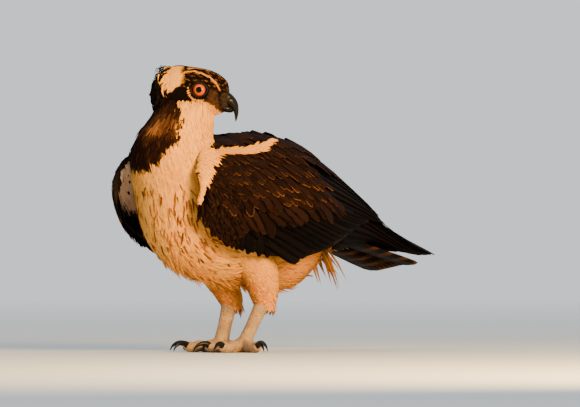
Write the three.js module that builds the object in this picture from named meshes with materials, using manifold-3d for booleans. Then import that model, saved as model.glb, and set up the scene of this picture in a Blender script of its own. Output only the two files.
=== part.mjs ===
// A young osprey standing with its head turned over its left shoulder, life size.
// Millimetres. +Z up, floor at z = 0, the body faces -Y and its left side is +X.
import * as THREE from "three";
import { mergeVertices } from "three/addons/utils/BufferGeometryUtils.js";
import Module from "manifold-3d";

const wasm = await Module();
wasm.setup();

// Driving sizes
const GAP = 0.35; // left between neighbouring pieces
const SINK = 4; // how deep a feather's root goes into what carries it
const BODY_SIDES = 22;
const HEAD_SIDES = 16;
const NECK_CUT = 6.75; // place of the parting between torso and neck, in body stations
const NECK_TOP = 9.9;
const HEAD_AT = new THREE.Vector3(8, -99.9, 298);
const HEAD_TURN = 34; // degrees from +X, so about 124 degrees from the body's heading
const EYE = { forward: 18.0, aside: 13.2, up: 2.4, radius: 10.5 };
const ANKLE_Z = 56;
const FOOT_TOP_Z = 15;
const TAIL = { root: [0, 104, 147], droop: 15, roll: 7, length: 186, spread: 5.4, feathers: 12 };

// Body stations, tail root to neck top: place, x, y, z, tilt of the axis, half width, height above and
// depth below
const BODY = [
  [0, 0, 134, 142, 12, 12, 9, 12],
  [1, 0, 112, 147, 12, 34, 28, 64],
  [2, 0, 72, 152, 12, 48, 50, 82],
  [3, 0, 20, 158, 11, 55, 70, 82],
  [4, 0, -35, 164, 15, 56, 72, 86],
  [5, 0, -80, 176, 35, 56, 68, 78],
  [6, 0, -102, 203, 62, 54, 54, 55],
  [7, 2, -114, 228, 84, 51, 49, 48],
  [8, 4, -114, 248, 92, 43, 42, 41],
  [9, 8.5, -107, 270, 93, 35.5, 34, 32],
  [10, 10, -103, 288, 93, 28, 27, 28],
];

// Head sections along its own length: forward, half width, top, bottom
const HEAD = [
  [-36, 8, 8, -12],
  [-30, 17, 20, -24],
  [-20, 23, 28, -29],
  [-8, 25.5, 30.3, -31],
  [4, 25.5, 28.8, -30],
  [16, 24, 27.2, -28.5],
  [28, 21.5, 24.4, -27.5],
  [37, 18, 20.4, -25],
  [43, 14.5, 16, -22.5],
  [47.5, 11, 10.5, -20.5],
  [49, 9, 3, -19],
];

// Upper bill in profile: place, culmen forward and up, cutting edge forward and up, half width
const UPPER_BILL = [
  [0, 42, 2, 40, -14, 9.6],
  [1, 49, 0, 46, -15.2, 9],
  [2, 55, -5.2, 50, -17, 7.4],
  [3, 58.9, -11.2, 52.8, -19.6, 5.6],
  [4, 60.3, -17.8, 54.6, -22.6, 4.1],
  [5, 60, -25, 55.6, -26.6, 2.7],
  [6, 58.6, -30.4, 56.2, -30.6, 1.4],
  [7, 57.1, -34, 56.6, -33.8, 0.4],
];
const LOWER_BILL = [
  [0, 39, -14, 39, -21.5, 8.6],
  [1, 45, -15.4, 45, -22.6, 7.4],
  [2, 50, -16.6, 50, -23.4, 5.6],
  [3, 54, -19.5, 53.6, -22.6, 2.6],
];

// Outer surface of the folded left wing: place along y, then the points of one arc over its side:
// top edge x z, fullest point x z, lower edge x z
const WING = [
  [-143, 61, 206, 69, 192, 65, 174],
  [-128, 54, 228, 78, 193, 68, 150],
  [-100, 40, 242, 84, 190, 69, 128],
  [-50, 20, 249, 86, 185, 74, 107],
  [0, 7, 254, 85, 183, 74, 102],
  [50, 5, 250, 80, 175, 68, 101],
  [100, 4, 238, 67, 166, 58, 101],
  [150, 4, 212, 51, 158, 46, 114],
  [190, 4, 186, 38, 151, 36, 120],
  [240, 4, 153, 26, 136, 26, 117],
  [300, 4, 126, 15, 118, 16, 106],
  [350, 4, 111, 8, 107, 10, 102],
];

// Feather tiers of the folded wing, lowest first. The roots run along one line over the surface and the
// tips along another, each line from its rear end to its front end as y and share of the arc.
// The lift is above the surface at root and tip, the rise is from a feather's lower edge to its upper one,
// and the drop is how much lower each next feather lies.
function tier(count, roots, tips, wide, lift, rise, drop = 0) {
  return { count, roots, tips, wide, lift, rise, drop };
}
const TIERS = [
  tier(4, [[140, 0.3], [95, 0.76]], [[334, 0.34], [262, 0.7]], 24, [-4.6, -3], 0, 1.4),
  tier(7, [[62, 0.46], [-108, 0.7]], [[205, 0.44], [36, 0.95]], 31, [-4, 0.2], 2.2),
  tier(3, [[72, 0.08], [64, 0.36]], [[214, 0.1], [208, 0.34]], 32, [-4, 1], 1.4),
  tier(6, [[50, 0.38], [-118, 0.62]], [[102, 0.57], [-84, 0.86]], 37, [-3.8, 1.8], 1.4),
  tier(6, [[44, 0.24], [-120, 0.42]], [[84, 0.43], [-96, 0.68]], 36, [-3.8, 2], 1.4),
  tier(4, [[62, 0.02], [-66, 0.03]], [[134, 0.12], [-30, 0.24]], 34, [-3.6, 1.8], 1.4),
];

// Legs, left then right: x y z of ankle and foot, and the turn of the foot
const LEGS = [
  { name: "left", side: 1, ankle: [28, 11], foot: [26, -24], turn: 8, thigh: 0 },
  { name: "right", side: -1, ankle: [-28, 15], foot: [-26, -6], turn: -8, thigh: 4 },
];
const THIGH = [
  [0, 41, -40, 136, 23, 38],
  [1, 38, -19, 106, 21, 31],
  [2, 32.5, 0, 81, 17.5, 23],
  [3, 29, 9, 64, 14, 17],
  [4, 28, 11, 56, 12, 13.5],
];
// Toes of one foot: name, direction from straight ahead towards the outside, length of toe and claw
const TOES = [
  ["inner", -32, 44, 27],
  ["middle", 4, 48, 26],
  ["outer", 58, 44, 25],
  ["hind", 180, 33, 27],
];

const rad = THREE.MathUtils.degToRad;
const lerp = THREE.MathUtils.lerp;
const vec = (x, y, z) => new THREE.Vector3(x, y, z);

// A seeded random draw in 0..1
function draws(seed) {
  let state = seed;
  return () => {
    state = (state * 16807) % 2147483647;
    return state / 2147483647;
  };
}

// Smooth values between the rows of a table whose first column is the place along it
function between(rows, place) {
  let i = 0;
  while (i < rows.length - 2 && place > rows[i + 1][0]) i++;
  const [low, high] = [rows[i], rows[i + 1]];
  const [before, after] = [rows[Math.max(0, i - 1)], rows[Math.min(rows.length - 1, i + 2)]];
  const span = high[0] - low[0];
  const s = (place - low[0]) / span;
  return low.slice(1).map((a, k) => {
    const b = high[k + 1];
    const slopeA = ((b - before[k + 1]) / (high[0] - before[0])) * span;
    const slopeB = ((after[k + 1] - a) / (after[0] - low[0])) * span;
    const [s2, s3] = [s * s, s * s * s];
    const ends = (2 * s3 - 3 * s2 + 1) * a + (3 * s2 - 2 * s3) * b;
    return ends + (s3 - 2 * s2 + s) * slopeA + (s3 - s2) * slopeB;
  });
}

// A manifold solid from points and triangles, turned the right way out
function solidOf(points, faces) {
  const made = (list) =>
    new wasm.Manifold(
      new wasm.Mesh({
        numProp: 3,
        vertProperties: new Float32Array(points.flatMap((p) => [p.x, p.y, p.z])),
        triVerts: new Uint32Array(list.flat()),
      }),
    );
  const solid = made(faces);
  return solid.volume() < 0 ? made(faces.map(([a, b, c]) => [a, c, b])) : solid;
}

// A three.js geometry as a manifold solid
function fromGeometry(geometry) {
  const bare = geometry.clone();
  bare.deleteAttribute("normal");
  bare.deleteAttribute("uv");
  const merged = mergeVertices(bare, 1e-4);
  const place = merged.attributes.position;
  const points = Array.from({ length: place.count }, (_, i) => vec().fromBufferAttribute(place, i));
  const index = Array.from(merged.index.array);
  const faces = [];
  for (let i = 0; i < index.length; i += 3) faces.push(index.slice(i, i + 3));
  return solidOf(points, faces);
}

// A closed skin over rings of equal count, each end closed to its middle
function loft(rings) {
  const n = rings[0].length;
  const points = rings.flat();
  const faces = [];
  for (let i = 0; i < rings.length - 1; i++) {
    for (let j = 0; j < n; j++) {
      const [a, b] = [i * n + j, i * n + ((j + 1) % n)];
      faces.push([a, b, b + n], [a, b + n, a + n]);
    }
  }
  const middle = (ring) => ring.reduce((sum, p) => sum.add(p), vec(0, 0, 0)).divideScalar(n);
  const last = (rings.length - 1) * n;
  points.push(middle(rings[0]), middle(rings.at(-1)));
  for (let j = 0; j < n; j++) {
    const k = (j + 1) % n;
    faces.push([points.length - 2, k, j], [points.length - 1, last + j, last + k]);
  }
  return solidOf(points, faces);
}

// A closed skin over crescent rings, whose first half runs along the outside and second half back inside
function sheet(rings) {
  const n = rings[0].length;
  const faces = [];
  for (let i = 0; i < rings.length - 1; i++) {
    for (let j = 0; j < n; j++) {
      const [a, b] = [i * n + j, i * n + ((j + 1) % n)];
      faces.push([a, b, b + n], [a, b + n, a + n]);
    }
  }
  const last = (rings.length - 1) * n;
  for (let j = 0; j < n / 2 - 1; j++) {
    const [a, b, c, d] = [j, j + 1, n - 2 - j, n - 1 - j];
    faces.push([a, c, b], [a, d, c], [last + a, last + b, last + c], [last + a, last + c, last + d]);
  }
  return solidOf(rings.flat(), faces);
}

// A thin blade from pairs of edge points, thick along the normals, both faces split alike
function blade(cuts) {
  const points = cuts.flatMap(({ left, right, normal, thick }) => {
    const up = normal.clone().multiplyScalar(thick / 2);
    return [left.clone().add(up), right.clone().add(up), left.clone().sub(up), right.clone().sub(up)];
  });
  const faces = [[0, 2, 3], [0, 3, 1]];
  for (let i = 0; i < cuts.length - 1; i++) {
    const [l, r, m, s] = [4 * i, 4 * i + 1, 4 * i + 2, 4 * i + 3];
    faces.push([l, r, r + 4], [l, r + 4, l + 4]);
    faces.push([m, s + 4, s], [m, m + 4, s + 4]);
    faces.push([l, m + 4, m], [l, l + 4, m + 4]);
    faces.push([r, s, s + 4], [r, s + 4, r + 4]);
  }
  const e = 4 * (cuts.length - 1);
  faces.push([e, e + 3, e + 2], [e, e + 1, e + 3]);
  return solidOf(points, faces);
}

const union = (solids) => wasm.Manifold.union(solids);

// The largest closed piece of a solid, without slivers
function whole(solid) {
  return solid.simplify(0.135).decompose().reduce((a, b) => (b.volume() > a.volume() ? b : a));
}

const FINISH = {
  dark: { color: 0x2e1d12, roughness: 0.75 },
  white: { color: 0xe9d3b0, roughness: 0.85 },
  streaked: { color: 0xb98d62, roughness: 0.85 },
  horn: { color: 0x14110f, roughness: 0.3 },
  eye: { color: 0xe2591c, roughness: 0.1 },
  scaly: { color: 0x9a8464, roughness: 0.7 },
};

// A named mesh of a solid
function node(name, solid, finish) {
  const { vertProperties, triVerts } = whole(solid).getMesh();
  const geometry = new THREE.BufferGeometry();
  geometry.setAttribute("position", new THREE.BufferAttribute(vertProperties, 3));
  geometry.setIndex(new THREE.BufferAttribute(triVerts, 1));
  const flat = geometry.toNonIndexed();
  flat.computeVertexNormals();
  const mesh = new THREE.Mesh(flat, new THREE.MeshStandardMaterial({ ...FINISH[finish], metalness: 0 }));
  mesh.name = name;
  return mesh;
}

// A tapered lock of feather: root, direction, the way its face looks, size, and a bend towards the body
// or off it
function lock(root, along, face, { long, wide, thick = 1.2, bend = 0 }) {
  const side = vec().crossVectors(face, along).normalize();
  const start = root.clone().addScaledVector(along, -SINK).addScaledVector(face, -1.2);
  return blade(
    [0, 0.5, 1].map((t) => {
      const middle = start
        .clone()
        .addScaledVector(along, t * (long + SINK))
        .addScaledVector(face, bend * t * t);
      const half = (wide / 2) * (0.72 + 0.9 * t - 1.5 * t * t);
      return {
        left: middle.clone().addScaledVector(side, -half),
        right: middle.clone().addScaledVector(side, half),
        normal: face,
        thick: lerp(thick, 0.5, t),
      };
    }),
  );
}

// Body

// A point on the body's surface at a station and an angle round it, 0 along the back
function bodyPoint(place, angle, grow = 0) {
  const [x, y, z, tilt, half, above, below] = between(BODY, place);
  const [slope, turn] = [rad(tilt), rad(angle)];
  const rise = (Math.cos(turn) > 0 ? above : below) + grow;
  const off = rise * Math.cos(turn);
  return vec(x + (half + grow) * Math.sin(turn), y + off * Math.sin(slope), z + off * Math.cos(slope));
}

// The body's skin between two stations
function bodySolid(from, to, cuts, grow = 0) {
  return loft(
    Array.from({ length: cuts + 1 }, (_, i) =>
      Array.from({ length: BODY_SIDES }, (_, j) =>
        bodyPoint(lerp(from, to, i / cuts), (360 * j) / BODY_SIDES, grow),
      ),
    ),
  );
}

// A feather on the body that follows its surface towards the tail, swung aside by a few degrees and lifted
// at its tip
function bodyFeather(place, angle, { long, wide, rise }, swing) {
  const root = bodyPoint(place, angle);
  const perStation = root.distanceTo(bodyPoint(place - 0.1, angle)) * 10;
  const perDegree = root.distanceTo(bodyPoint(place, angle + 1));
  const way = [Math.cos(rad(swing)), Math.sin(rad(swing))];
  const at = (run, aside, up) => {
    const [back, round] = [run * way[0] - aside * way[1], run * way[1] + aside * way[0]];
    return bodyPoint(place - back / perStation, angle + round / perDegree, up);
  };
  return blade(
    [0, 0.5, 1].map((t) => {
      const run = t * (long + SINK) - SINK;
      const half = (wide / 2) * (0.72 + 0.9 * t - 1.5 * t * t);
      const up = lerp(-1.6, rise, t);
      const normal = at(run, 0, up + 1).sub(at(run, 0, up)).normalize();
      return { left: at(run, -half, up), right: at(run, half, up), normal, thick: lerp(1.3, 0.5, t) };
    }),
  );
}

// Rows of such feathers: place, how many, angles from and to, length, width and lift at the tip
function bodyFeathers(rows, seed) {
  const random = draws(seed);
  return rows.flatMap(([place, count, from, to, long, wide, rise]) =>
    Array.from({ length: count }, (_, i) => {
      const angle = lerp(from, to, (i + 0.3 * random()) / (count - 0.7));
      const size = { long: long * (0.85 + 0.3 * random()), wide, rise };
      return bodyFeather(place, angle, size, 10 * (random() - 0.5));
    }),
  );
}

// Head, in its own frame: +X forward, +Z up

function headPoint(forward, angle, grow = 0) {
  const [half, top, bottom] = between(HEAD, forward);
  const middle = (top + bottom) / 2;
  const turn = rad(angle);
  const rise = (top - bottom) / 2 + grow;
  return vec(forward, (half + grow) * Math.sin(turn), middle + rise * Math.cos(turn));
}

function headShell(grow = 0) {
  const places = [-36, -33, -27, -18, -7, 5, 17, 28, 36, 42, 46.5, 49];
  return loft(
    places.map((f, i) => {
      const reach = f + (i === 0 ? -grow : 0) + (i === places.length - 1 ? grow : 0);
      const turns = Array.from({ length: HEAD_SIDES }, (_, j) => (360 * j) / HEAD_SIDES);
      return turns.map((turn) => headPoint(f, turn, grow).setX(reach));
    }),
  );
}

// One half of the bill from its profile rows, oval in section
function billSolid(rows, cuts, grow = 0) {
  const last = rows.length - 1;
  return loft(
    Array.from({ length: cuts + 1 }, (_, i) => {
      const [topF, topUp, lowF, lowUp, half] = between(rows, (last * i) / cuts);
      const middle = vec((topF + lowF) / 2, 0, (topUp + lowUp) / 2);
      const rise = vec((topF - lowF) / 2, 0, (topUp - lowUp) / 2);
      rise.setLength(rise.length() + grow);
      return Array.from({ length: 12 }, (_, j) => {
        const turn = rad(30 * j);
        const side = Math.sin(turn) * (half + grow);
        return middle.clone().addScaledVector(rise, Math.cos(turn)).add(vec(0, side, 0));
      });
    }),
  );
}

function ball(at, radius, stretch, detail) {
  const geometry = new THREE.SphereGeometry(radius, detail, Math.round(detail * 0.6));
  geometry.scale(...stretch);
  geometry.translate(...at);
  return fromGeometry(geometry);
}

function eyeBall(side, grow = 0) {
  return ball([EYE.forward, side * EYE.aside, EYE.up], EYE.radius + grow, [1, 1, 1], 12);
}

function eyelid(side) {
  const ring = new THREE.TorusGeometry(EYE.radius * 0.8, 1.5, 4, 14);
  ring.rotateX(rad(90));
  ring.translate(EYE.forward, side * (EYE.aside + 6.6), EYE.up);
  return fromGeometry(ring);
}

// Shaggy crest over the nape: rows of locks that stand off the back of the head
function crest() {
  const random = draws(11);
  const locks = [];
  for (const [forward, count, width, long, lift] of [
    [-17, 4, 44, 15, 10],
    [-25, 4, 70, 16, 12],
    [-31, 5, 108, 14, 16],
  ]) {
    for (let i = 0; i < count; i++) {
      const angle = lerp(-width, width, (i + 0.5 * random()) / (count - 0.5));
      const root = headPoint(forward, angle);
      const face = headPoint(forward, angle, 1).sub(root).normalize();
      const along = headPoint(forward - 2, angle).sub(root).normalize();
      along.addScaledVector(face, Math.sin(rad(lift))).normalize();
      const upright = face.addScaledVector(along, -face.dot(along)).normalize();
      locks.push(lock(root, along, upright, { long: long * (0.8 + 0.4 * random()), wide: 10, bend: 1 }));
    }
  }
  return locks;
}

const billUpper = (grow = 0) => billSolid(UPPER_BILL, 11, grow);
const billLower = (grow = 0) => billSolid(LOWER_BILL, 5, grow);

function headSolid(feathers) {
  let solid = headShell();
  for (const side of [-1, 1]) {
    const dish = ball([EYE.forward + 2, side * 31, EYE.up - 1], 11, [1.5, 1, 1.25], 12);
    solid = solid.subtract(dish).add(eyelid(side));
  }
  solid = solid.add(feathers);
  for (const side of [-1, 1]) {
    solid = solid.subtract(eyeBall(side, GAP));
    const gape = new THREE.BoxGeometry(20, 8, 0.9).toNonIndexed();
    gape.rotateY(rad(9));
    gape.translate(36, side * 18.5, -13.6);
    solid = solid.subtract(fromGeometry(gape));
  }
  return solid.subtract(billUpper(GAP)).subtract(billLower(GAP));
}

function nostril(side) {
  return ball([49.6, side * 8.9, -6.4], 1.3, [1.7, 1.2, 0.9], 8);
}

// Wing

// A point over the outer surface of the left wing: along y, share of the way down the arc, height above it
function wingPoint(y, share, lift = 0) {
  const arc = (at, q) => {
    const [tx, tz, mx, mz, bx, bz] = between(WING, at);
    const [kx, kz] = [2 * mx - (tx + bx) / 2, 2 * mz - (tz + bz) / 2];
    const [a, b, c] = [(1 - q) * (1 - q), 2 * q * (1 - q), q * q];
    return vec(a * tx + b * kx + c * bx, at, a * tz + b * kz + c * bz);
  };
  const here = arc(y, share);
  if (lift === 0) return here;
  const down = arc(y, share + 0.01).sub(here);
  const back = arc(y + 1, share).sub(here);
  return here.addScaledVector(down.cross(back).normalize(), lift);
}

// Length of the wing's arc at one place
function wingArc(y) {
  const steps = 4;
  let sum = 0;
  for (let i = 0; i < steps; i++) sum += wingPoint(y, i / steps).distanceTo(wingPoint(y, (i + 1) / steps));
  return sum;
}

// How far the flesh of the wing lies under the surface that its feathers make, nothing at the bend
const coreUnder = (y) => 3 * Math.min(1, (y + 143) / 50);

// The fleshy part of the folded wing, a crescent in section
function wingCore() {
  const [lines, rings] = [6, 9];
  const points = [];
  for (let i = 0; i <= rings; i++) {
    const y = lerp(-142, 196, i / rings);
    const deep = 16 * Math.sin(Math.PI * Math.min(1, 0.12 + (0.8 * i) / rings)) + 1.5;
    const reach = lerp(0.98, 0.88, Math.max(0, y) / 196);
    const shares = Array.from({ length: lines }, (_, j) => j / (lines - 1));
    const outer = shares.map((share) => wingPoint(y, lerp(0.01, reach, share), -coreUnder(y)));
    const inner = shares.map((share) => {
      const under = 1.2 + deep * Math.sin(Math.PI * (0.06 + 0.88 * share));
      return wingPoint(y, lerp(0.03, reach - 0.03, share), -coreUnder(y) - under);
    });
    points.push([...outer, ...inner.reverse()]);
  }
  return sheet(points);
}

// Shares of a feather's length at which its vane bends
const LONG_CUTS = [0, 0.4, 0.8, 1];
const SHORT_CUTS = [0, 0.6, 1];

// One wing feather that follows the wing's surface, one edge under its neighbour by the given rise
function wingFeather(root, tip, { wide, lift, rise = 0 }) {
  const arc = wingArc(lerp(root[0], tip[0], 0.5));
  const [run, fall] = [tip[0] - root[0], (tip[1] - root[1]) * arc];
  const long = Math.hypot(run, fall);
  const cuts = long > 90 ? LONG_CUTS : SHORT_CUTS;
  const at = (t, aside, up) =>
    wingPoint(
      lerp(root[0], tip[0], t) - (aside * fall) / long,
      lerp(root[1], tip[1], t) + (aside * run) / long / arc,
      up,
    );
  return blade(
    cuts.map((t) => {
      const end = t === 1;
      const half = (wide / 2) * (end ? 0.42 : Math.min(1, 0.75 + 0.8 * t));
      const up = lerp(lift[0], lift[1], Math.min(1, 1.6 * t));
      const tilt = (rise * half) / wide;
      const normal = at(t, 0, up + 1).sub(at(t, 0, up)).normalize();
      const [left, right] = [at(t, -half, up + tilt), at(t, half, up - tilt)];
      return { left, right, normal, thick: end ? 0.5 : 0.62 };
    }),
  );
}

// All the feathers of the left wing
function wingFeathers() {
  return TIERS.flatMap((tier, row) => {
    const random = draws(31 + row);
    const along = (ends, s) => [lerp(ends[0][0], ends[1][0], s), lerp(ends[0][1], ends[1][1], s)];
    return Array.from({ length: tier.count }, (_, i) => {
      const s = i / (tier.count - 1);
      const [root, tip] = [along(tier.roots, s), along(tier.tips, s)];
      tip[0] += 5 * (random() - 0.5);
      const under = tier.drop * i;
      const lift = [tier.lift[0] - under, tier.lift[1] - under];
      return wingFeather(root, tip, { ...tier, lift });
    });
  });
}

// Tail

// The tail lies flat in its own frame, +Y along it, then is set at the root, drooped and rolled
const tailPlace = new THREE.Matrix4()
  .makeTranslation(...TAIL.root)
  .multiply(new THREE.Matrix4().makeRotationX(rad(-TAIL.droop)))
  .multiply(new THREE.Matrix4().makeRotationY(rad(-TAIL.roll)));

// One tail feather: its order from the far right, its level under the middle pair
function tailFeather(order) {
  const off = order - (TAIL.feathers - 1) / 2;
  const under = Math.abs(off) - 0.5 + (off < 0 ? 0.5 : 0);
  const tilt = Math.sign(off) * 0.02;
  return blade(
    Array.from({ length: 4 }, (_, k) => {
      const t = k / 3;
      const run = t * (TAIL.length - 2 * Math.abs(off));
      const aside = off * lerp(1.6, TAIL.spread, t);
      const half = 14 * (k === 3 ? 0.42 : Math.min(1, 0.5 + 1.1 * t));
      const level = -1.25 * under;
      return {
        left: vec(aside - half, run, level + tilt * half),
        right: vec(aside + half, run, level - tilt * half),
        normal: vec(0, 0, 1),
        thick: k === 3 ? 0.55 : 0.8,
      };
    }),
  );
}

function tailSolid() {
  const stump = ball([0, 22, -6], 13, [1.4, 2.5, 0.8], 10);
  const feathers = Array.from({ length: TAIL.feathers }, (_, i) => tailFeather(i));
  const coverts = [];
  for (const [count, up, long, wide] of [
    [3, 1, 62, 22],
    [4, -1, 78, 22],
  ]) {
    for (let i = 0; i < count; i++) {
      const s = (i + 0.5) / count - 0.5;
      const along = vec(0.35 * s, 1, up > 0 ? 0.04 : -0.12).normalize();
      const face = vec(0.5 * s, 0, up);
      face.addScaledVector(along, -face.dot(along)).normalize();
      coverts.push(lock(vec(26 * s, 26, up > 0 ? 1 : -12), along, face, { long, wide, thick: 1.4 }));
    }
  }
  return union([stump, ...feathers, ...coverts]).transform(tailPlace.toArray());
}

// Legs

const oval = (x, y, z, a, b, count = 12) =>
  Array.from({ length: count }, (_, j) => {
    const turn = (2 * Math.PI * j) / count;
    return vec(x + a * Math.sin(turn), y + b * Math.cos(turn), z);
  });

function thighSection(leg, place, grow = 0) {
  const [x, y, z, a, b] = between(THIGH, place);
  return { x: leg.side * x, y: y + (leg.thigh * place) / 4, z, a: a + grow, b: b + grow };
}

function thighSolid(leg, grow = 0) {
  const core = loft(
    Array.from({ length: 7 }, (_, i) => {
      const { x, y, z, a, b } = thighSection(leg, (2 * i) / 3, grow);
      return oval(x, y, z, a, b);
    }),
  );
  if (grow) return core;
  const random = draws(5 + leg.side);
  const locks = [];
  for (const [place, count, long] of [
    [2.7, 6, 20],
    [3.5, 6, 15],
  ]) {
    for (let i = 0; i < count; i++) {
      const turn = (2 * Math.PI * (i + 0.4 * random())) / count;
      const { x, y, z, a, b } = thighSection(leg, place);
      const face = vec(Math.sin(turn), Math.cos(turn), 0);
      const root = vec(x + a * face.x, y + b * face.y, z);
      const along = vec(0.1 * face.x, 0.12 * face.y + 0.12, -1).normalize();
      face.addScaledVector(along, -face.dot(along)).normalize();
      locks.push(lock(root, along, face, { long: long * (0.8 + 0.5 * random()), wide: 12, bend: -0.6 }));
    }
  }
  return union([core, ...locks]);
}

// The bare shank: [share of the way down, half width, half depth]
const SHANK = [
  [0, 9.6, 11.4],
  [0.25, 8.4, 9.8],
  [0.6, 7.6, 8.8],
  [0.85, 8.2, 9.2],
  [1, 9.4, 10.2],
];

function shankSolid(leg, grow = 0) {
  const top = thighSection(leg, 4);
  return loft(
    Array.from({ length: 6 }, (_, i) => {
      const s = i / 5;
      const [a, b] = between(SHANK, s);
      const z = lerp(ANKLE_Z - GAP + grow, FOOT_TOP_Z + GAP - grow, s);
      return oval(lerp(top.x, leg.foot[0], s), lerp(top.y, leg.foot[1] + 2, s), z, a + grow, b + grow);
    }),
  );
}

// The way a toe points, seen from above
function toeWay(leg, angle) {
  const turn = rad(-90 + leg.side * (angle + leg.turn * leg.side));
  return vec(Math.cos(turn), Math.sin(turn), 0);
}

// A round rod through points with a radius at each
function rod(path, radii, sides) {
  return loft(
    path.map((p, i) => {
      const ahead = path[Math.min(path.length - 1, i + 1)];
      const along = ahead.clone().sub(path[Math.max(0, i - 1)]).normalize();
      const across = vec(-along.y, along.x, 0).normalize();
      const up = vec().crossVectors(along, across).normalize();
      return Array.from({ length: sides }, (_, j) => {
        const turn = (2 * Math.PI * j) / sides;
        return p
          .clone()
          .addScaledVector(across, radii[i] * Math.cos(turn))
          .addScaledVector(up, radii[i] * Math.sin(turn));
      });
    }),
  );
}

function toeSolid(leg, [, angle, long]) {
  const way = toeWay(leg, angle);
  const start = vec(leg.foot[0], leg.foot[1], 0);
  const rows = [
    [0.1, 8, 7.4],
    [0.28, 7.4, 6.4],
    [0.46, 6, 6.2],
    [0.6, 7, 6],
    [0.8, 5.6, 5.9],
    [1, 6.4, 4.6],
  ];
  return rod(
    rows.map(([s, up]) => start.clone().addScaledVector(way, s * long).setZ(up)),
    rows.map(([, , radius]) => radius),
    6,
  );
}

function clawSolid(leg, [, angle, long, reach], grow = 0) {
  const way = toeWay(leg, angle);
  const [from, to, steps] = [38, -78, 6];
  const p = vec(leg.foot[0], leg.foot[1], 7.6).addScaledVector(way, long - 3);
  const [path, radii] = [[p.clone()], [3.7 + grow]];
  for (let i = 1; i <= steps; i++) {
    const lean = rad(lerp(from, to, (i - 0.5) / steps));
    p.addScaledVector(way, (Math.cos(lean) * reach) / steps);
    p.z += (Math.sin(lean) * reach) / steps;
    path.push(p.clone());
    radii.push(lerp(3.9, 0.5, Math.pow(i / steps, 1.15)) + grow);
  }
  return rod(path, radii, 6);
}

const aboveFloor = (solid, height) => solid.trimByPlane([0, 0, 1], height);

function footSolid(leg) {
  const palm = ball([leg.foot[0], leg.foot[1], 8], 11, [1, 1.1, 0.9], 12);
  const neck = loft([
    oval(leg.foot[0], leg.foot[1] + 1, 6, 9, 9.6),
    oval(leg.foot[0], leg.foot[1] + 2, FOOT_TOP_Z, 9.4, 10.2),
  ]);
  const solid = union([palm, neck, ...TOES.map((toe) => toeSolid(leg, toe))]);
  const claws = union(TOES.map((toe) => clawSolid(leg, toe, GAP)));
  return aboveFloor(solid.subtract(claws), 0).trimByPlane([0, 0, -1], -FOOT_TOP_Z);
}

// Putting the bird together

const osprey = new THREE.Group();

const neckCore = bodySolid(NECK_CUT + 0.006, NECK_TOP, 6);
const neckClear = bodySolid(NECK_CUT - 0.02, NECK_TOP, 6, GAP);
const headGroup = new THREE.Group();
headGroup.position.copy(HEAD_AT);
headGroup.rotation.z = rad(HEAD_TURN);
headGroup.updateMatrixWorld(true);
const headWorld = headGroup.matrixWorld;
const neckInHead = neckClear.transform(headWorld.clone().invert().toArray());
const crestClear = union(crest()).subtract(neckInHead);
headGroup.add(node("head", headSolid(crestClear), "white"));
const bill = [-1, 1].reduce((solid, side) => solid.subtract(nostril(side)), billUpper());
headGroup.add(node("bill_upper", bill, "horn"));
headGroup.add(node("bill_lower", billLower().subtract(billUpper(GAP)), "horn"));
for (const [name, side] of [
  ["eye_left", 1],
  ["eye_right", -1],
]) {
  headGroup.add(node(name, eyeBall(side), "eye"));
}
osprey.add(headGroup);

const headClear = headShell(GAP).add(crestClear).transform(headWorld.toArray());

// Torso with the loose feathers of belly and vent
const torsoFeathers = bodyFeathers(
  [
    [3.4, 4, 146, 214, 38, 24, 2],
    [2.2, 5, 136, 224, 40, 26, 3],
    [1.2, 5, 130, 230, 38, 22, 4],
  ],
  3,
);
const thighsClear = union(LEGS.map((leg) => thighSolid(leg, GAP)));
const torsoCore = bodySolid(0, NECK_CUT - 0.006, 11);
const looseFeathers = union(torsoFeathers).subtract(thighsClear);
const torsoClear = bodySolid(-0.01, NECK_CUT + 0.02, 11, GAP);
const torso = torsoCore.add(looseFeathers);
osprey.add(node("torso", torso, "white"));

// Neck with its hackles
const hackles = bodyFeathers(
  [
    [9.4, 5, 80, 296, 26, 22, 2.4],
    [8.6, 6, 66, 306, 29, 24, 2.8],
  ],
  8,
);
const neck = union([neckCore, ...hackles]).subtract(headClear).subtract(torsoClear);
osprey.add(node("neck", neck, "streaked"));

// Wings
for (const [name, mirrored] of [
  ["wing_left", false],
  ["wing_right", true],
]) {
  const feathered = union([wingCore(), ...wingFeathers()]).trimByPlane([1, 0, 0], GAP / 2);
  const side = mirrored ? feathered.mirror([1, 0, 0]) : feathered;
  const clear = [torsoClear, neckClear, ...hackles, looseFeathers, thighsClear];
  osprey.add(node(name, side.subtract(union(clear)), "dark"));
}

// Tail
osprey.add(node("tail", tailSolid().subtract(torsoClear).subtract(looseFeathers), "dark"));

// Legs
for (const leg of LEGS) {
  const thigh = thighSolid(leg).subtract(torsoClear).subtract(shankSolid(leg, GAP));
  osprey.add(node("thigh_" + leg.name, thigh, "white"));
  osprey.add(node("tarsus_" + leg.name, shankSolid(leg), "scaly"));
  osprey.add(node("foot_" + leg.name, footSolid(leg), "scaly"));
  for (const toe of TOES) {
    osprey.add(node("claw_" + leg.name + "_" + toe[0], aboveFloor(clawSolid(leg, toe), 0.3), "horn"));
  }
}

// The origin is on the floor at the middle of the whole bird's box
const box = new THREE.Box3().setFromObject(osprey);
osprey.position.set(-(box.min.x + box.max.x) / 2, -(box.min.y + box.max.y) / 2, -box.min.z);

export default osprey;
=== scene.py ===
"""A young osprey at rest with its head turned over its left shoulder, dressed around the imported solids.

Shapes are worked out in the bird's own frame in millimetres, as the solids are: the floor at z = 0, the body
facing -Y, its left side +X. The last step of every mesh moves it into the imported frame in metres.
"""
import math

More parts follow.
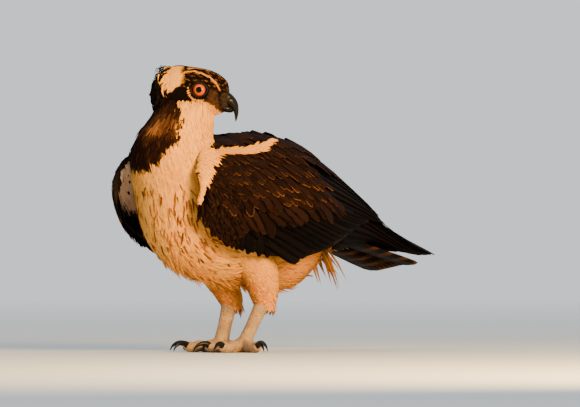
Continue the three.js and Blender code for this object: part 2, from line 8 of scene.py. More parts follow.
import bpy
import numpy as np
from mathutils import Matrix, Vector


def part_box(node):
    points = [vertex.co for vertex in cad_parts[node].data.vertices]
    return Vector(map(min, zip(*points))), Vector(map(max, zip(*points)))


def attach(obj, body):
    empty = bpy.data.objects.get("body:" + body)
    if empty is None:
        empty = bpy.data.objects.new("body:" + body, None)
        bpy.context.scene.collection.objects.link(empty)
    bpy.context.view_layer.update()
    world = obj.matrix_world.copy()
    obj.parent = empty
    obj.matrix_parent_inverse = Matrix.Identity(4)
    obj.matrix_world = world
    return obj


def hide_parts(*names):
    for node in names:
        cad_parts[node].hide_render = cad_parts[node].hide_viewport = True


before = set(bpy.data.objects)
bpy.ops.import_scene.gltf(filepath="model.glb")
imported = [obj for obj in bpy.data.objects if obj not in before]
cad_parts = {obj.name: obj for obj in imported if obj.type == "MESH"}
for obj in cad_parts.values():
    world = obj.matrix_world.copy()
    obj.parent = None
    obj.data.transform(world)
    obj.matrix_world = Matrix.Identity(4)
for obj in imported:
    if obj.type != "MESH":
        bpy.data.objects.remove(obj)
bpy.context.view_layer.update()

# Named sizes, as in the solids
HEAD_AT = np.array([8.0, -99.9, 298.0])
HEAD_TURN = 34.0
EYE_FORWARD, EYE_ASIDE, EYE_UP, EYE_RADIUS = 18.0, 13.2, 2.4, 10.5
IRIS, PUPIL, CORNEA_RISE = 6.9, 3.5, 0.55
# The lids' opening, how thick their rim is, and how much thicker above
OPENING, LID_THICK, LID_BROW = 7.7, 1.15, 0.35
NOSTRIL_FORWARD, NOSTRIL_UP = 49.3, -6.6
TAIL_AT = np.array([0.0, 104.0, 147.0])
TAIL_DROOP, TAIL_ROLL, TAIL_LENGTH = 15.0, 7.0, 186.0
# How many tail feathers there are, and how far apart their roots and their ends lie
TAIL_FEATHERS, TAIL_STEP, TAIL_SPREAD = 12, 1.6, 5.4
ANKLE_Z, FOOT_TOP_Z = 56.0, 15.0
# How far wing feathers and wing cores keep from the bird's middle plane
FEATHERS_APART, CORE_APART = 0.25, 0.3

# Body stations: place, x, y, z, tilt, half width, height above, depth below
BODY = [
    [0, 0, 134, 142, 12, 12, 9, 12],
    [1, 0, 112, 147, 12, 34, 28, 64],
    [2, 0, 72, 152, 12, 48, 50, 82],
    [3, 0, 20, 158, 11, 55, 70, 82],
    [4, 0, -35, 164, 15, 56, 72, 86],
    [5, 0, -80, 176, 35, 56, 68, 78],
    [6, 0, -102, 203, 62, 54, 54, 55],
    [7, 2, -114, 228, 84, 51, 49, 48],
    [8, 4, -114, 248, 92, 43, 42, 41],
    [9, 8.5, -107, 270, 93, 35.5, 34, 32],
    [10, 10, -103, 288, 93, 28, 27, 28],
]
# Head sections: forward, half width, top, bottom
HEAD = [
    [-39, 1.5, -1, -4],
    [-36, 10, 10, -14],
    [-30, 17, 20, -24],
    [-20, 23, 28, -29],
    [-8, 25.5, 30.3, -31],
    [4, 25.5, 28.8, -30],
    [16, 24, 27.2, -28.5],
    [28, 21.5, 24.4, -27.5],
    [37, 18, 20.4, -25],
    [43, 14.5, 16, -22.5],
    [47.5, 11, 10.5, -20.5],
    [49, 9, 3, -19],
]
# Outer surface of the folded left wing: y, then top edge, fullest point and lower edge, each as x and z
WING = [
    [-143, 61, 206, 69, 192, 65, 174],
    [-128, 54, 228, 78, 193, 68, 150],
    [-100, 40, 242, 84, 190, 69, 128],
    [-50, 20, 249, 86, 185, 74, 107],
    [0, 7, 254, 85, 183, 74, 102],
    [50, 5, 250, 80, 175, 68, 101],
    [100, 4, 238, 67, 166, 58, 101],
    [150, 4, 212, 51, 158, 46, 114],
    [190, 4, 186, 38, 151, 36, 120],
    [240, 4, 153, 26, 136, 26, 117],
    [300, 4, 126, 15, 118, 16, 106],
    [350, 4, 111, 8, 107, 10, 102],
]
BEND_Y = WING[0][0]
# A thigh: place, x, y, z, half width, half depth
THIGH = [
    [0, 41, -40, 136, 23, 38],
    [1, 38, -19, 106, 21, 31],
    [2, 32.5, 0, 81, 17.5, 23],
    [3, 29, 9, 64, 14, 17],
    [4, 28, 11, 56, 12, 13.5],
]
# Halves of the bill: place, upper edge forward and up, lower edge forward and up, half width
UPPER_BILL = [
    [0, 42, 2, 40, -14, 9.6],
    [1, 49, 0, 46, -15.2, 9],
    [2, 55, -5.2, 50, -17, 7.4],
    [3, 58.9, -11.2, 52.8, -19.6, 5.6],
    [4, 60.3, -17.8, 54.6, -22.6, 4.1],
    [5, 60, -25, 55.6, -26.6, 2.7],
    [6, 58.6, -30.4, 56.2, -30.6, 1.4],
    [7, 57.1, -34, 56.6, -33.8, 0.4],
]
LOWER_BILL = [
    [0, 39, -12.5, 39, -21.5, 8.8],
    [1, 45, -13.6, 45, -22.8, 8.0],
    [2, 50, -14.8, 50, -23.6, 6.4],
    [3, 54, -17.8, 53.6, -22.9, 3.2],
]
# Legs: name, side, foot x y, turn of the foot, lean of the thigh
LEGS = [
    ("left", 1, (26, -24), 8, 0),
    ("right", -1, (-26, -6), -8, 4),
]
# Toes: name, direction from straight ahead to the outside, toe length, claw length
TOES = [("inner", -32, 44, 27), ("middle", 4, 48, 26), ("outer", 58, 44, 25), ("hind", 180, 33, 27)]
# A shank: share of the way down, half width, half depth
SHANK = [[0, 9.6, 11.4], [0.25, 8.4, 9.8], [0.6, 7.6, 8.8], [0.85, 8.2, 9.2], [1, 9.4, 10.2]]
# A toe with full pads: share of its length, height of its middle, radius
TOE_PADS = [
    [0, 8.2, 7.4], [0.26, 7.6, 6.4], [0.42, 6, 6.3], [0.55, 7.4, 6.1],
    [0.72, 5.4, 5.8], [0.86, 6, 5.9], [1, 6.4, 4.4],
]
# The ball of a foot: height of its middle, half its width, length and height
BALL_Z, BALL_SIZE = 8, (11, 12, 9.9)
# A claw: height of its root, radius at root and point, and its slope there in degrees
CLAW_Z, CLAW_THICK, CLAW_POINT = 7.6, 3.9, 0.16
CLAW_RISE, CLAW_FALL = 38, -78

# Colours, linear
# The pale plumage: its own white and buff, deepened to orange by painted golden sunlight
CREAM_WITH_PAINTED_SUN = np.array([0.59, 0.245, 0.036])
WHITE_WITH_PAINTED_SUN = np.array([0.63, 0.300, 0.054])
BUFF = np.array([0.52, 0.20, 0.055])
BROWN = np.array([0.0190, 0.0064, 0.0032])
DARK = np.array([0.0024, 0.0014, 0.0012])
GREY_BROWN = np.array([0.024, 0.013, 0.0085])
RUST = np.array([0.36, 0.095, 0.022])
# The far wing's lining, paler and greyer than the near one's: painted light that lifts it where it lies in
# shade
FAR_LINING_PAINTED_LIGHT = np.array([0.78, 0.58, 0.42])


def spline(table, place):
    """Smooth values between table rows: on each span a cubic through both rows, its end slopes being those
    of the chords to the next row but one. Beyond the ends it runs straight on."""
    rows = np.array(table, float)
    place = np.asarray(place, float)
    i = np.clip(np.searchsorted(rows[:, 0], place, side="right") - 1, 0, len(rows) - 2)
    before, after = np.maximum(i - 1, 0), np.minimum(i + 2, len(rows) - 1)
    span = rows[i + 1, 0] - rows[i, 0]
    share = ((place - rows[i, 0]) / span)[..., None]
    s = np.clip(share, 0, 1)
    a, b = rows[i, 1:], rows[i + 1, 1:]
    slope_a = (b - rows[before, 1:]) * (span / (rows[i + 1, 0] - rows[before, 0]))[..., None]
    slope_b = (rows[after, 1:] - a) * (span / (rows[after, 0] - rows[i, 0]))[..., None]
    s2, s3 = s * s, s * s * s
    out = (2 * s3 - 3 * s2 + 1) * a + (s3 - 2 * s2 + s) * slope_a
    out = out + (3 * s2 - 2 * s3) * b + (s3 - s2) * slope_b
    beyond = np.where(share > 1, (share - 1) * slope_b, np.minimum(share, 0) * slope_a)
    return np.moveaxis(out + beyond, -1, 0)


def unit(v):
    """Vectors at length one."""
    return v / np.maximum(np.linalg.norm(v, axis=-1, keepdims=True), 1e-9)


def step(low, high, x):
    """0 below low, 1 above high, and a smooth S between."""
    t = np.clip((x - low) / (high - low), 0, 1)
    return t * t * (3 - 2 * t)


def mix(a, b, t):
    """Colours a and b mixed by t: a at 0, b at 1."""
    return a + (b - a) * np.asarray(t)[..., None]


def circle(count):
    """Angles once round, evenly apart, in radians."""
    return np.linspace(0, 2 * math.pi, count, endpoint=False)


def turned(points, degrees):
    """Points turned about the upright axis."""
    c, s = math.cos(math.radians(degrees)), math.sin(math.radians(degrees))
    x, y, z = points[..., 0], points[..., 1], points[..., 2]
    return np.stack([x * c - y * s, x * s + y * c, z], -1)


def head_to_bird(points):
    """From the head's frame, +X forward and +Y its left, into the bird's."""
    return turned(points, HEAD_TURN) + HEAD_AT


def bird_to_head(points):
    """From the bird's frame into the head's."""
    return turned(points - HEAD_AT, -HEAD_TURN)


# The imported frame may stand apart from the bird's own along y, which the left eye's box tells
eye_now = 0.5 * sum(np.array(corner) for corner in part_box("eye_left"))
eye_drawn = head_to_bird(np.array([EYE_FORWARD, EYE_ASIDE, EYE_UP]))
SHIFT = np.round(eye_now * 1000 - eye_drawn, 2)
SHIFT[[0, 2]] = 0


# Grounds: each takes two places and a height and gives points


def body_ground(place, angle, lift):
    """The torso and neck: ovals round a bent axis, 0 degrees along the back, 90 on the left."""
    x, y, z, tilt, half, above, below = spline(BODY, place)
    turn, slope = np.radians(angle), np.radians(tilt)
    off = (np.where(np.cos(turn) > 0, above, below) + lift) * np.cos(turn)
    return np.stack([x + (half + lift) * np.sin(turn), y + off * np.sin(slope), z + off * np.cos(slope)], -1)


def head_ground(forward, angle, lift):
    """The head: ovals across its own length, 0 degrees on the crown, 90 on its left."""
    half, top, bottom = spline(HEAD, forward)
    turn = np.radians(angle)
    rise = (top - bottom) / 2 + lift
    up = (top + bottom) / 2 + rise * np.cos(turn)
    aside = (half + lift) * np.sin(turn)
    return head_to_bird(np.stack([forward + 0 * turn, aside, up], -1))


def thigh_ground(side, lean):
    """A thigh: level ovals down its length, 0 degrees behind, 90 to the left."""

    def ground(place, turn, lift):
        x, y, z, a, b = spline(THIGH, place)
        around = np.radians(turn)
        y = y + lean * place / 4
        return np.stack(
            [side * x + (a + lift) * np.sin(around), y + (b + lift) * np.cos(around), z + 0 * around], -1
        )

    return ground


def wing_arc(y, share):
    """A curve down the wing's side at one y, through its top edge, fullest point and lower edge."""
    tx, tz, mx, mz, bx, bz = spline(WING, y)
    kx, kz = 2 * mx - (tx + bx) / 2, 2 * mz - (tz + bz) / 2
    a, b, c = (1 - share) ** 2, 2 * share * (1 - share), share**2
    return np.stack([a * tx + b * kx + c * bx, y + 0 * share, a * tz + b * kz + c * bz], -1)


def wing_ground(y, share, lift):
    """The left wing's outer surface, raised along its normal."""
    y, share, lift = np.broadcast_arrays(np.asarray(y, float), share, lift)
    here = wing_arc(y, share)
    down = wing_arc(y, share + 0.01) - here
    back = wing_arc(y + 1, share) - here
    return here + unit(np.cross(down, back)) * lift[..., None]


def tail_ground(run, aside, level):
    """The tail's plane: along it, across it and above it, rolled, drooped and set at the root."""
    run, aside, level = np.broadcast_arrays(np.asarray(run, float), aside, level)
    r, d = math.radians(-TAIL_ROLL), math.radians(-TAIL_DROOP)
    x, z = aside * math.cos(r) + level * math.sin(r), -aside * math.sin(r) + level * math.cos(r)
    y, z = run * math.cos(d) - z * math.sin(d), run * math.sin(d) + z * math.cos(d)
    return np.stack([x, y, z], -1) + TAIL_AT


def under_tail(run, aside, level):
    """The underside of the tail's root, under its coverts."""
    return tail_ground(run, aside, -13 - level)


# Meshes


def put_mesh(name, points, quads, tris, colours=(), numbers=(), uv=None, smooth=True):
    """A mesh object at the origin from arrays: points in the bird's frame, faces by index, colour and
    number attributes on the points, and the bake map."""
    mesh = bpy.data.meshes.new(name)
    points = (np.asarray(points, float) + SHIFT) / 1000
    corners = np.concatenate([np.asarray(quads, np.int32).ravel(), np.asarray(tris, np.int32).ravel()])
    sizes = np.concatenate([np.full(len(quads), 4), np.full(len(tris), 3)])
    mesh.vertices.add(len(points))
    mesh.vertices.foreach_set("co", points.astype(np.float32).ravel())
    mesh.loops.add(len(corners))
    mesh.loops.foreach_set("vertex_index", corners)
    mesh.polygons.add(len(sizes))
    starts = np.concatenate([[0], np.cumsum(sizes)[:-1]]).astype(np.int32)
    mesh.polygons.foreach_set("loop_start", starts)
    mesh.update(calc_edges=True)
    for key, values in colours:
        rgba = np.concatenate([values, np.ones((len(values), 1))], 1)
        mesh.attributes.new(key, "FLOAT_COLOR", "POINT").data.foreach_set("color", rgba.ravel())
    for key, values in numbers:
        mesh.attributes.new(key, "FLOAT", "POINT").data.foreach_set("value", values)
    if uv is not None:
        mesh.uv_layers.new(name="OFBake").data.foreach_set("uv", uv[corners].ravel())
    mesh.polygons.foreach_set("use_smooth", np.full(len(sizes), smooth))
    thing = bpy.data.objects.new(name, mesh)
    bpy.context.scene.collection.objects.link(thing)
    return thing


def grid_faces(rows, columns):
    """Quads over a grid that closes round its columns."""
    i, j = np.meshgrid(np.arange(rows - 1), np.arange(columns), indexing="ij")
    k = (j + 1) % columns
    here, below = i * columns, (i + 1) * columns
    return np.stack([here + j, here + k, below + k, below + j], -1).reshape(-1, 4)


def tube_faces(rows, columns):
    """Quads between rings of points, and a fan at each end to a middle point that follows the rings."""
    j = np.arange(columns)
    k = (j + 1) % columns
    last, middle = (rows - 1) * columns, np.full(columns, rows * columns)
    fans = [np.stack([middle, k, j], -1), np.stack([middle + 1, last + j, last + k], -1)]
    return grid_faces(rows, columns), np.concatenate(fans)


def closed_tube(rings):
    """Rings of points, first to last, as a closed skin with a fan to the middle of each end."""
    points = np.concatenate([rings.reshape(-1, 3), rings[0].mean(0)[None], rings[-1].mean(0)[None]])
    return points, *tube_faces(*rings.shape[:2])


def outward(points, quads, tris):
    """The faces turned round if the closed skin they make has a negative volume."""
    p = points - points.mean(0)
    fans = np.concatenate([quads[:, [0, 1, 2]], quads[:, [0, 2, 3]], tris])
    volume = np.einsum("ij,ij->", p[fans[:, 0]], np.cross(p[fans[:, 1]], p[fans[:, 2]]))
    return (quads, tris) if volume > 0 else (quads[:, ::-1], tris[:, ::-1])


def join(parts):
    """Several closed skins as one list of points and faces."""
    points, quads, tris, count = [], [], [], 0
    for p, q, t in parts:
        q, t = outward(p, q, t)
        points.append(p)
        quads.append(q + count)
        tris.append(t + count)
        count += len(p)
    return np.concatenate(points), np.concatenate(quads), np.concatenate(tris)


def melted(name, parts, voxel, smooth):
    """Closed skins melted into one by a voxel remesh of that size, then smoothed; gives points and quads."""
    thing = put_mesh(name, *join(parts))
    remesh = thing.modifiers.new("melt", "REMESH")
    remesh.mode = "VOXEL"
    remesh.voxel_size = voxel / 1000
    relax = thing.modifiers.new("relax", "SMOOTH")
    relax.iterations = smooth
    ready = thing.evaluated_get(bpy.context.evaluated_depsgraph_get()).to_mesh()
    points = np.empty(len(ready.vertices) * 3, np.float32)
    ready.vertices.foreach_get("co", points)
    faces = np.empty(len(ready.loops), np.int32)
    ready.loops.foreach_get("vertex_index", faces)
    mesh = thing.data
    bpy.data.objects.remove(thing)
    bpy.data.meshes.remove(mesh)
    return points.reshape(-1, 3).astype(float) * 1000 - SHIFT, faces.reshape(-1, 4)


NO_TRIS = np.zeros((0, 3), np.int32)


def dress(thing, material, slot, *nodes):
    """Gives a piece its material, rides it on the body, and hides the imported parts it stands for; the slot
    is not used.
    """
    thing.data.materials.append(material)
    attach(thing, "root")
    if nodes:
        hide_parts(*nodes)


# Feathers

# Sections across a feather: place from edge to edge and height in thicknesses
TUFT = np.array([[-1, 0], [0, 1], [1, 0]])
VANE = np.array([[-1, 0], [-0.5, 0.75], [-0.07, 1], [0, 1.9], [0.07, 1], [0.5, 0.75], [1, 0], [0, -0.4]])
# Outlines down a feather: share of its length and share of its width
BLUNT = np.array([[0, 0.5], [0.15, 0.8], [0.4, 1], [0.8, 1], [0.94, 0.9], [0.985, 0.62], [1, 0]])
POINTED = np.array([[0, 0.5], [0.35, 1], [0.72, 0.72], [1, 0]])
SLEEK = np.array([[0, 0.5], [0.4, 0.95], [0.72, 0.9], [0.92, 0.5], [1, 0]])
ROUNDED = np.array([[0, 0.45], [0.25, 0.85], [0.55, 1], [0.8, 0.9], [0.94, 0.55], [1, 0]])
FLIGHT = np.array([
    [0, 0.5], [0.15, 0.8], [0.4, 1], [0.6, 1], [0.78, 0.95], [0.9, 0.78], [0.97, 0.48], [1, 0],
])

# Angles all round a ground, and the stretch of each ground that a bake map covers
ROUND = (0, 360)
BODY_REACH = ((0, 10.2), ROUND)
HEAD_REACH = ((-39, 49), ROUND)
THIGH_REACH = ((0, 4.6), ROUND)
WING_REACH = ((BEND_Y, 100), (0, 1))
BEND_REACH = ((BEND_Y, 50), (0, 1))
TAIL_REACH = ((0, 200), (-40, 40))

# How much of a bake map's side the patch of one small feather takes
MAP_PATCH = 0.003
# Two shares whose multiples, without their whole parts, fill a square evenly
EVEN_U, EVEN_V = 0.7548776662, 0.5698402910


def stretch(ground, u, v):
    """How many millimetres one unit of each place is worth on a ground."""
    here = ground(u, v, 0.0)
    wide = np.linalg.norm(ground(u + 0.01, v, 0.0) - here, axis=-1) / 0.01
    deep = np.linalg.norm(ground(u, v + 0.01, 0.0) - here, axis=-1) / 0.01
    return np.maximum(wide, 1e-4), np.maximum(deep, 1e-4)


def sow(ground, us, vs, spacing, seed, keep=None):
    """Places spread evenly over a stretch of ground: a sequence that steps by two irrational shares, thinned
    by local area so that neighbours stand about one spacing apart."""
    probe_u, probe_v = np.meshgrid(np.linspace(*us, 40), np.linspace(*vs, 40))
    wide, deep = stretch(ground, probe_u.ravel(), probe_v.ravel())
    most = np.quantile(wide * deep, 0.98)
    count = int((us[1] - us[0]) * (vs[1] - vs[0]) * most / spacing**2)
    n = np.arange(count) + seed * 17.3
    u = us[0] + (us[1] - us[0]) * ((n * EVEN_U) % 1)
    v = vs[0] + (vs[1] - vs[0]) * ((n * EVEN_V) % 1)
    wide, deep = stretch(ground, u, v)
    chance = wide * deep / most
    if keep is not None:
        chance = chance * keep(u, v)
    chosen = chance > np.random.default_rng(seed).random(count)
    return u[chosen], v[chosen]


def shafts(ground, u, v, t, heading, length, low, high, droop, curl):
    """The shafts of feathers on a ground, at the shares t of their length, and the ways out of it there."""
    wide, deep = (size[:, None] for size in stretch(ground, u, v))
    bend = np.radians(heading + curl * t)
    path_u = u[:, None] + np.cos(bend) * length * t / wide
    path_v = v[:, None] + np.sin(bend) * length * t / deep
    height = low + (high - low) * np.minimum(1, 1.4 * t)
    path = ground(path_u, path_v, height)
    out = ground(path_u, path_v, height + 1) - path
    path[..., 2] -= droop * t * t
    return path, unit(out)


def in_cells(feather, patch):
    """Bake map places that give each feather a cell of its own: patch holds shares across and along it."""
    columns = math.ceil(math.sqrt(feather.max() + 1))
    cell = np.stack([feather % columns, feather // columns], -1)
    return (cell + 0.06 + 0.88 * patch) / columns


def lay(ground, u, v, heading, length, width, lift, section=TUFT, outline=POINTED, thick=0.35,
        droop=0.0, curl=0.0, cells=False, reach=((0, 1), (0, 1)), tilt=0.0):
    """Feathers that follow a ground. Each starts at a place, runs its length along the ground at a heading
    in degrees from the first place towards the second, rises from the first lift to the second, and sinks
    by droop and swerves by curl, both with the square of the way along. Its section is carried along that
    path, as wide as the outline says. Gives points, faces, and for each point its feather, its place across
    in millimetres and along in shares, how near it is to the rim, and the bake map: a cell for each feather,
    or else a small patch where it starts on the ground."""
    n, rings, around = len(u), len(outline), len(section)
    heading, length, width, droop, curl, tilt, low, high = (
        np.broadcast_to(np.asarray(value, float), (n,))[:, None]
        for value in (heading, length, width, droop, curl, tilt, *lift)
    )
    t, share = outline.T
    path, out = shafts(ground, u, v, t, heading, length, low, high, droop, curl)
    along = unit(np.gradient(path, axis=1))
    side = unit(np.cross(out, along))
    out = unit(np.cross(along, side))
    half = (width / 2 * share)[..., None, None]
    across, rise = section[:, :1], section[:, 1:]
    lean = np.tan(np.radians(tilt))[..., None, None] * across * half
    full = thick * np.minimum(1, 0.25 + share)[:, None, None]
    rings_at = path[:, :, None] + side[:, :, None] * across * half + out[:, :, None] * (rise * full + lean)
    body = rings_at[:, :-1].reshape(n, -1, 3)
    points = np.concatenate([body, path[:, :1], path[:, -1:]], 1)
    per = points.shape[1]
    quads, tris = tube_faces(rings - 1, around)
    first = (np.arange(n) * per)[:, None, None]
    feather = np.repeat(np.arange(n), per)
    place_across = np.tile(np.concatenate([np.tile(section[:, 0], rings - 1), [0, 0]]), n)
    place_along = np.tile(np.concatenate([np.repeat(t[:-1], around), [0, 1]]), n)
    rim = np.maximum(np.abs(place_across) * step(0.3, 0.85, place_along), step(0.82, 1.0, place_along))
    patch = np.stack([0.5 + 0.5 * place_across, place_along], -1)
    if cells:
        uv = in_cells(feather, patch)
    else:
        (u0, u1), (v0, v1) = reach
        at = np.stack([(u - u0) / (u1 - u0), (v - v0) / (v1 - v0)], -1)
        uv = MAP_PATCH + 0.99 * np.clip(at, 0, 1)[feather] + MAP_PATCH * (patch - 0.5)
    return {
        "points": points.reshape(-1, 3),
        "quads": (quads[None] + first).reshape(-1, 4),
        "tris": (tris[None] + first).reshape(-1, 3),
        "feather": feather,
        "across": place_across * (width[:, 0] / 2)[feather],
        "along": place_along,
        "rim": rim,
        "uv": uv,
    }


def shown(laid):
    """The middle of each laid feather's tip half, which is the part that shows."""
    late = laid["along"] > 0.5
    count = np.bincount(laid["feather"][late])[:, None]
    return np.stack([np.bincount(laid["feather"][late], axis) for axis in laid["points"][late].T], -1) / count


def plume(name, laid, tint, edging, material, slot, *nodes, mirrored=False):
    """One piece from laid feathers, with a body colour and an edge colour for each feather."""
    points = laid["points"] * ([-1, 1, 1] if mirrored else 1)
    quads, tris = outward(points, laid["quads"], laid["tris"])
    feather = laid["feather"]
    # Painted shade: each feather darker towards its root, where the feathers over it shade it
    painted_root_shade = (0.7 + 0.3 * step(0.0, 0.45, laid["along"]))[:, None]
    thing = put_mesh(
        name, points, quads, tris,
        colours=(("tint", tint[feather] * painted_root_shade), ("edging", edging[feather] * painted_root_shade)),
        numbers=(("rim", laid["rim"]), ("along", laid["along"]), ("across", laid["across"])),
        uv=laid["uv"], smooth=material is not SOFT_FEATHERS,
    )
    dress(thing, material, slot, *nodes)


def merged(laids):
    """Laid feathers of several kinds as one set."""
    out, point_count, feather_count = {}, 0, 0
    for laid in laids:
        shifted = dict(laid, feather=laid["feather"] + feather_count)
        for faces in ("quads", "tris"):
            shifted[faces] = laid[faces] + point_count
        for key, value in shifted.items():
            out.setdefault(key, []).append(value)
        point_count += len(laid["points"])
        feather_count += laid["feather"].max() + 1
    return {key: np.concatenate(values) for key, values in out.items()}


# Materials


class Wire:
    """A socket of a material under construction, with arithmetic that adds Math nodes."""

    def __init__(self, tree, socket):
        self.tree, self.socket = tree, socket

    def node(self, kind, settings=None, **values):
        """Any node: its type, settings applied first, then values or wires by socket name or index."""
        made = self.tree.nodes.new(kind)
        for key, value in (settings or {}).items():
            setattr(made, key, value)
        for key, value in values.items():
            socket = made.inputs[int(key[1:]) if key[0] == "_" else key.replace("_", " ")]
            if isinstance(value, Wire):
                self.tree.links.new(value.socket, socket)
            else:
                socket.default_value = value
        return made

    def wire(self, kind, settings=None, output=0, **values):
        """A node's output as a wire."""
        return Wire(self.tree, self.node(kind, settings, **values).outputs[output])

    def math(self, operation, first, second=0.0):
        """A Math node's result."""
        return self.wire("ShaderNodeMath", {"operation": operation}, _0=first, _1=second)

    def __add__(self, other):
        return self.math("ADD", self, other)

    def __sub__(self, other):
        return self.math("SUBTRACT", self, other)

    def __rsub__(self, other):
        return self.math("SUBTRACT", other, self)

    def __mul__(self, other):
        return self.math("MULTIPLY", self, other)

    def __abs__(self):
        return self.math("ABSOLUTE", self)

    __radd__, __rmul__ = __add__, __mul__

    def sine(self):
        """The sine of this wire, in radians."""
        return self.math("SINE", self)

    def blend(self, first, second):
        """Two colours mixed by this wire."""
        first, second = (value if isinstance(value, Wire) else (*value, 1) for value in (first, second))
        return self.wire("ShaderNodeMix", {"data_type": "RGBA"}, output=2, _0=self, _6=first, _7=second)

    def ramp(self, low, high):
        """0 below low, 1 above high, straight between."""
        return self.wire("ShaderNodeMapRange", Value=self, From_Min=low, From_Max=high)


def new_material(name, **constants):
    """A material whose Principled shader takes the given constants; gives it, a wire to start from and
    the shader."""
    material = bpy.data.materials.new(name)
    material.use_nodes = True
    tree = material.node_tree
    shader = tree.nodes["Principled BSDF"]
    for key, value in constants.items():
        shader.inputs[key.replace("_", " ")].default_value = value
    return material, Wire(tree, None), shader


def finish_material(start, shader, **wires):
    """Joins wires to the shader's sockets."""
    for key, value in wires.items():
        start.tree.links.new(value.socket, shader.inputs[key.replace("_", " ")])


def attribute(start, key):
    """A number that the mesh holds for each point."""
    return start.wire("ShaderNodeAttribute", {"attribute_name": key}, output=2)


def colour_attribute(start, key):
    """A colour that the mesh holds for each point."""
    return start.wire("ShaderNodeAttribute", {"attribute_name": key}, output=0)


def pattern(start, kind, settings=None, **values):
    """A texture on Object coordinates, which are the bird's own on every piece."""
    return start.wire(kind, settings, Vector=start.wire("ShaderNodeTexCoord", output=3), **values)


def bump(start, height, strength, distance):
    """A bump from a height, by its strength and the depth of its full height in metres."""
    return start.wire("ShaderNodeBump", Height=height, Strength=strength, Distance=distance)


def feather_material(name, rough, gloss, rim_from, barbs_along, bars=False):
    """Feathers: the body colour, the edge colour beyond a share of the way to the rim, dark bars where asked
    for, and fine barbs as a bump that runs slantwise from the shaft."""
    material, start, shader = new_material(name, Specular_IOR_Level=gloss)
    rim, along, across = (attribute(start, key) for key in ("rim", "along", "across"))
    tint, edging = (colour_attribute(start, key) for key in ("tint", "edging"))
    cloud = pattern(start, "ShaderNodeTexNoise", Scale=900.0, Detail=3.0)
    edge = (rim + (cloud - 0.5) * 0.22).ramp(rim_from, min(1.0, rim_from + 0.14))
    colour = edge.blend(tint, edging)
    if bars:
        wave = (along * 46.0 + (cloud - 0.5) * 0.9).sine()
        bar = wave.ramp(0.15, 0.5) * (1.0 - edge)
        colour = bar.blend(colour, (0.030, 0.013, 0.006))
    barbs = ((abs(across) * 2.6 - along * barbs_along) * 5.0).sine()
    roughness = cloud.ramp(0.2, 0.8) * 0.14 + rough
    finish_material(start, shader, Base_Color=colour, Roughness=roughness,
                    Normal=bump(start, barbs, 0.25, 0.00012))
    return material


def skin_material():
    """The skin under the coat, in the coat's own colours."""
    material, start, shader = new_material("plumage_skin", Roughness=0.9, Specular_IOR_Level=0.03)
    cloud = pattern(start, "ShaderNodeTexNoise", Scale=500.0, Detail=4.0)
    colour = (cloud.ramp(0.3, 0.8) * 0.35).blend(colour_attribute(start, "tint"), (0.1, 0.06, 0.035))
    finish_material(start, shader, Base_Color=colour, Normal=bump(start, cloud, 0.5, 0.0006))
    return material


def horn_material():
    """Glossy black horn with faint growth lines, greyer and duller where the attribute cere is high."""
    material, start, shader = new_material("horn", Coat_Roughness=0.15, Specular_IOR_Level=0.05)
    lines = pattern(start, "ShaderNodeTexWave", Scale=220.0, Distortion=4.0, Detail=2.0)
    cloud = pattern(start, "ShaderNodeTexNoise", Scale=400.0, Detail=4.0)
    cere = attribute(start, "cere")
    black = cloud.blend((0.002, 0.002, 0.0025), (0.007, 0.006, 0.006))
    finish_material(start, shader, Base_Color=cere.blend(black, (0.016, 0.014, 0.014)),
                    Roughness=cere * 0.25 + cloud * 0.12 + 0.28, Coat_Weight=0.1 - cere * 0.08,
                    Normal=bump(start, lines * 0.4 + cloud, 0.18, 0.0003))
    return material


def eye_material():
    """An eye: black pupil, orange iris with fine spokes and a darker rim, under a clear coat."""
    material, start, shader = new_material(
        "eye", Roughness=0.12, Specular_IOR_Level=0.03, Coat_Weight=0.12, Coat_Roughness=0.02)
    ring, turn = attribute(start, "ring"), attribute(start, "turn")
    cloud = pattern(start, "ShaderNodeTexNoise", Scale=700.0, Detail=4.0)
    spokes = (turn * 46.0 + cloud * 9.0).sine()
    iris = (spokes * 0.3 + cloud).ramp(0.1, 1.1).blend((0.29, 0.040, 0.001), (0.46, 0.088, 0.002))
    iris = ring.ramp(5.4, IRIS).blend(iris, (0.22, 0.020, 0.003))
    iris = ring.ramp(PUPIL + 0.9, PUPIL - 0.1).blend(iris, (0.50, 0.14, 0.01))
    colour = ring.ramp(PUPIL, PUPIL + 0.22).blend((0.002, 0.002, 0.002), iris)
    colour = ring.ramp(IRIS - 0.1, IRIS + 0.35).blend(colour, (0.004, 0.003, 0.003))
    finish_material(start, shader, Base_Color=colour)
    return material


def scale_material():
    """Bare tan leg skin: round raised scales with dark seams, paler where worn."""
    material, start, shader = new_material("leg_scales")
    cells = pattern(start, "ShaderNodeTexVoronoi", {"feature": "DISTANCE_TO_EDGE"}, Scale=430.0)
    patch = pattern(start, "ShaderNodeTexNoise", Scale=90.0, Detail=3.0)
    body = patch.ramp(0.35, 0.7).blend((0.27, 0.165, 0.085), (0.46, 0.29, 0.14))
    colour = cells.ramp(0.0, 0.12).blend((0.09, 0.05, 0.028), body)
    finish_material(start, shader, Base_Color=colour, Roughness=patch * 0.2 + 0.5,
                    Normal=bump(start, cells.ramp(0.0, 0.3), 0.8, 0.0007))
    return material


def lid_material():
    """Bare dark skin of the lids, finely wrinkled."""
    material, start, shader = new_material(
        "lid_skin", Roughness=0.6, Specular_IOR_Level=0.08, Base_Color=(0.006, 0.005, 0.004, 1))
    wrinkles = pattern(start, "ShaderNodeTexNoise", Scale=1500.0, Detail=3.0)
    finish_material(start, shader, Normal=bump(start, wrinkles, 0.4, 0.0003))
    return material


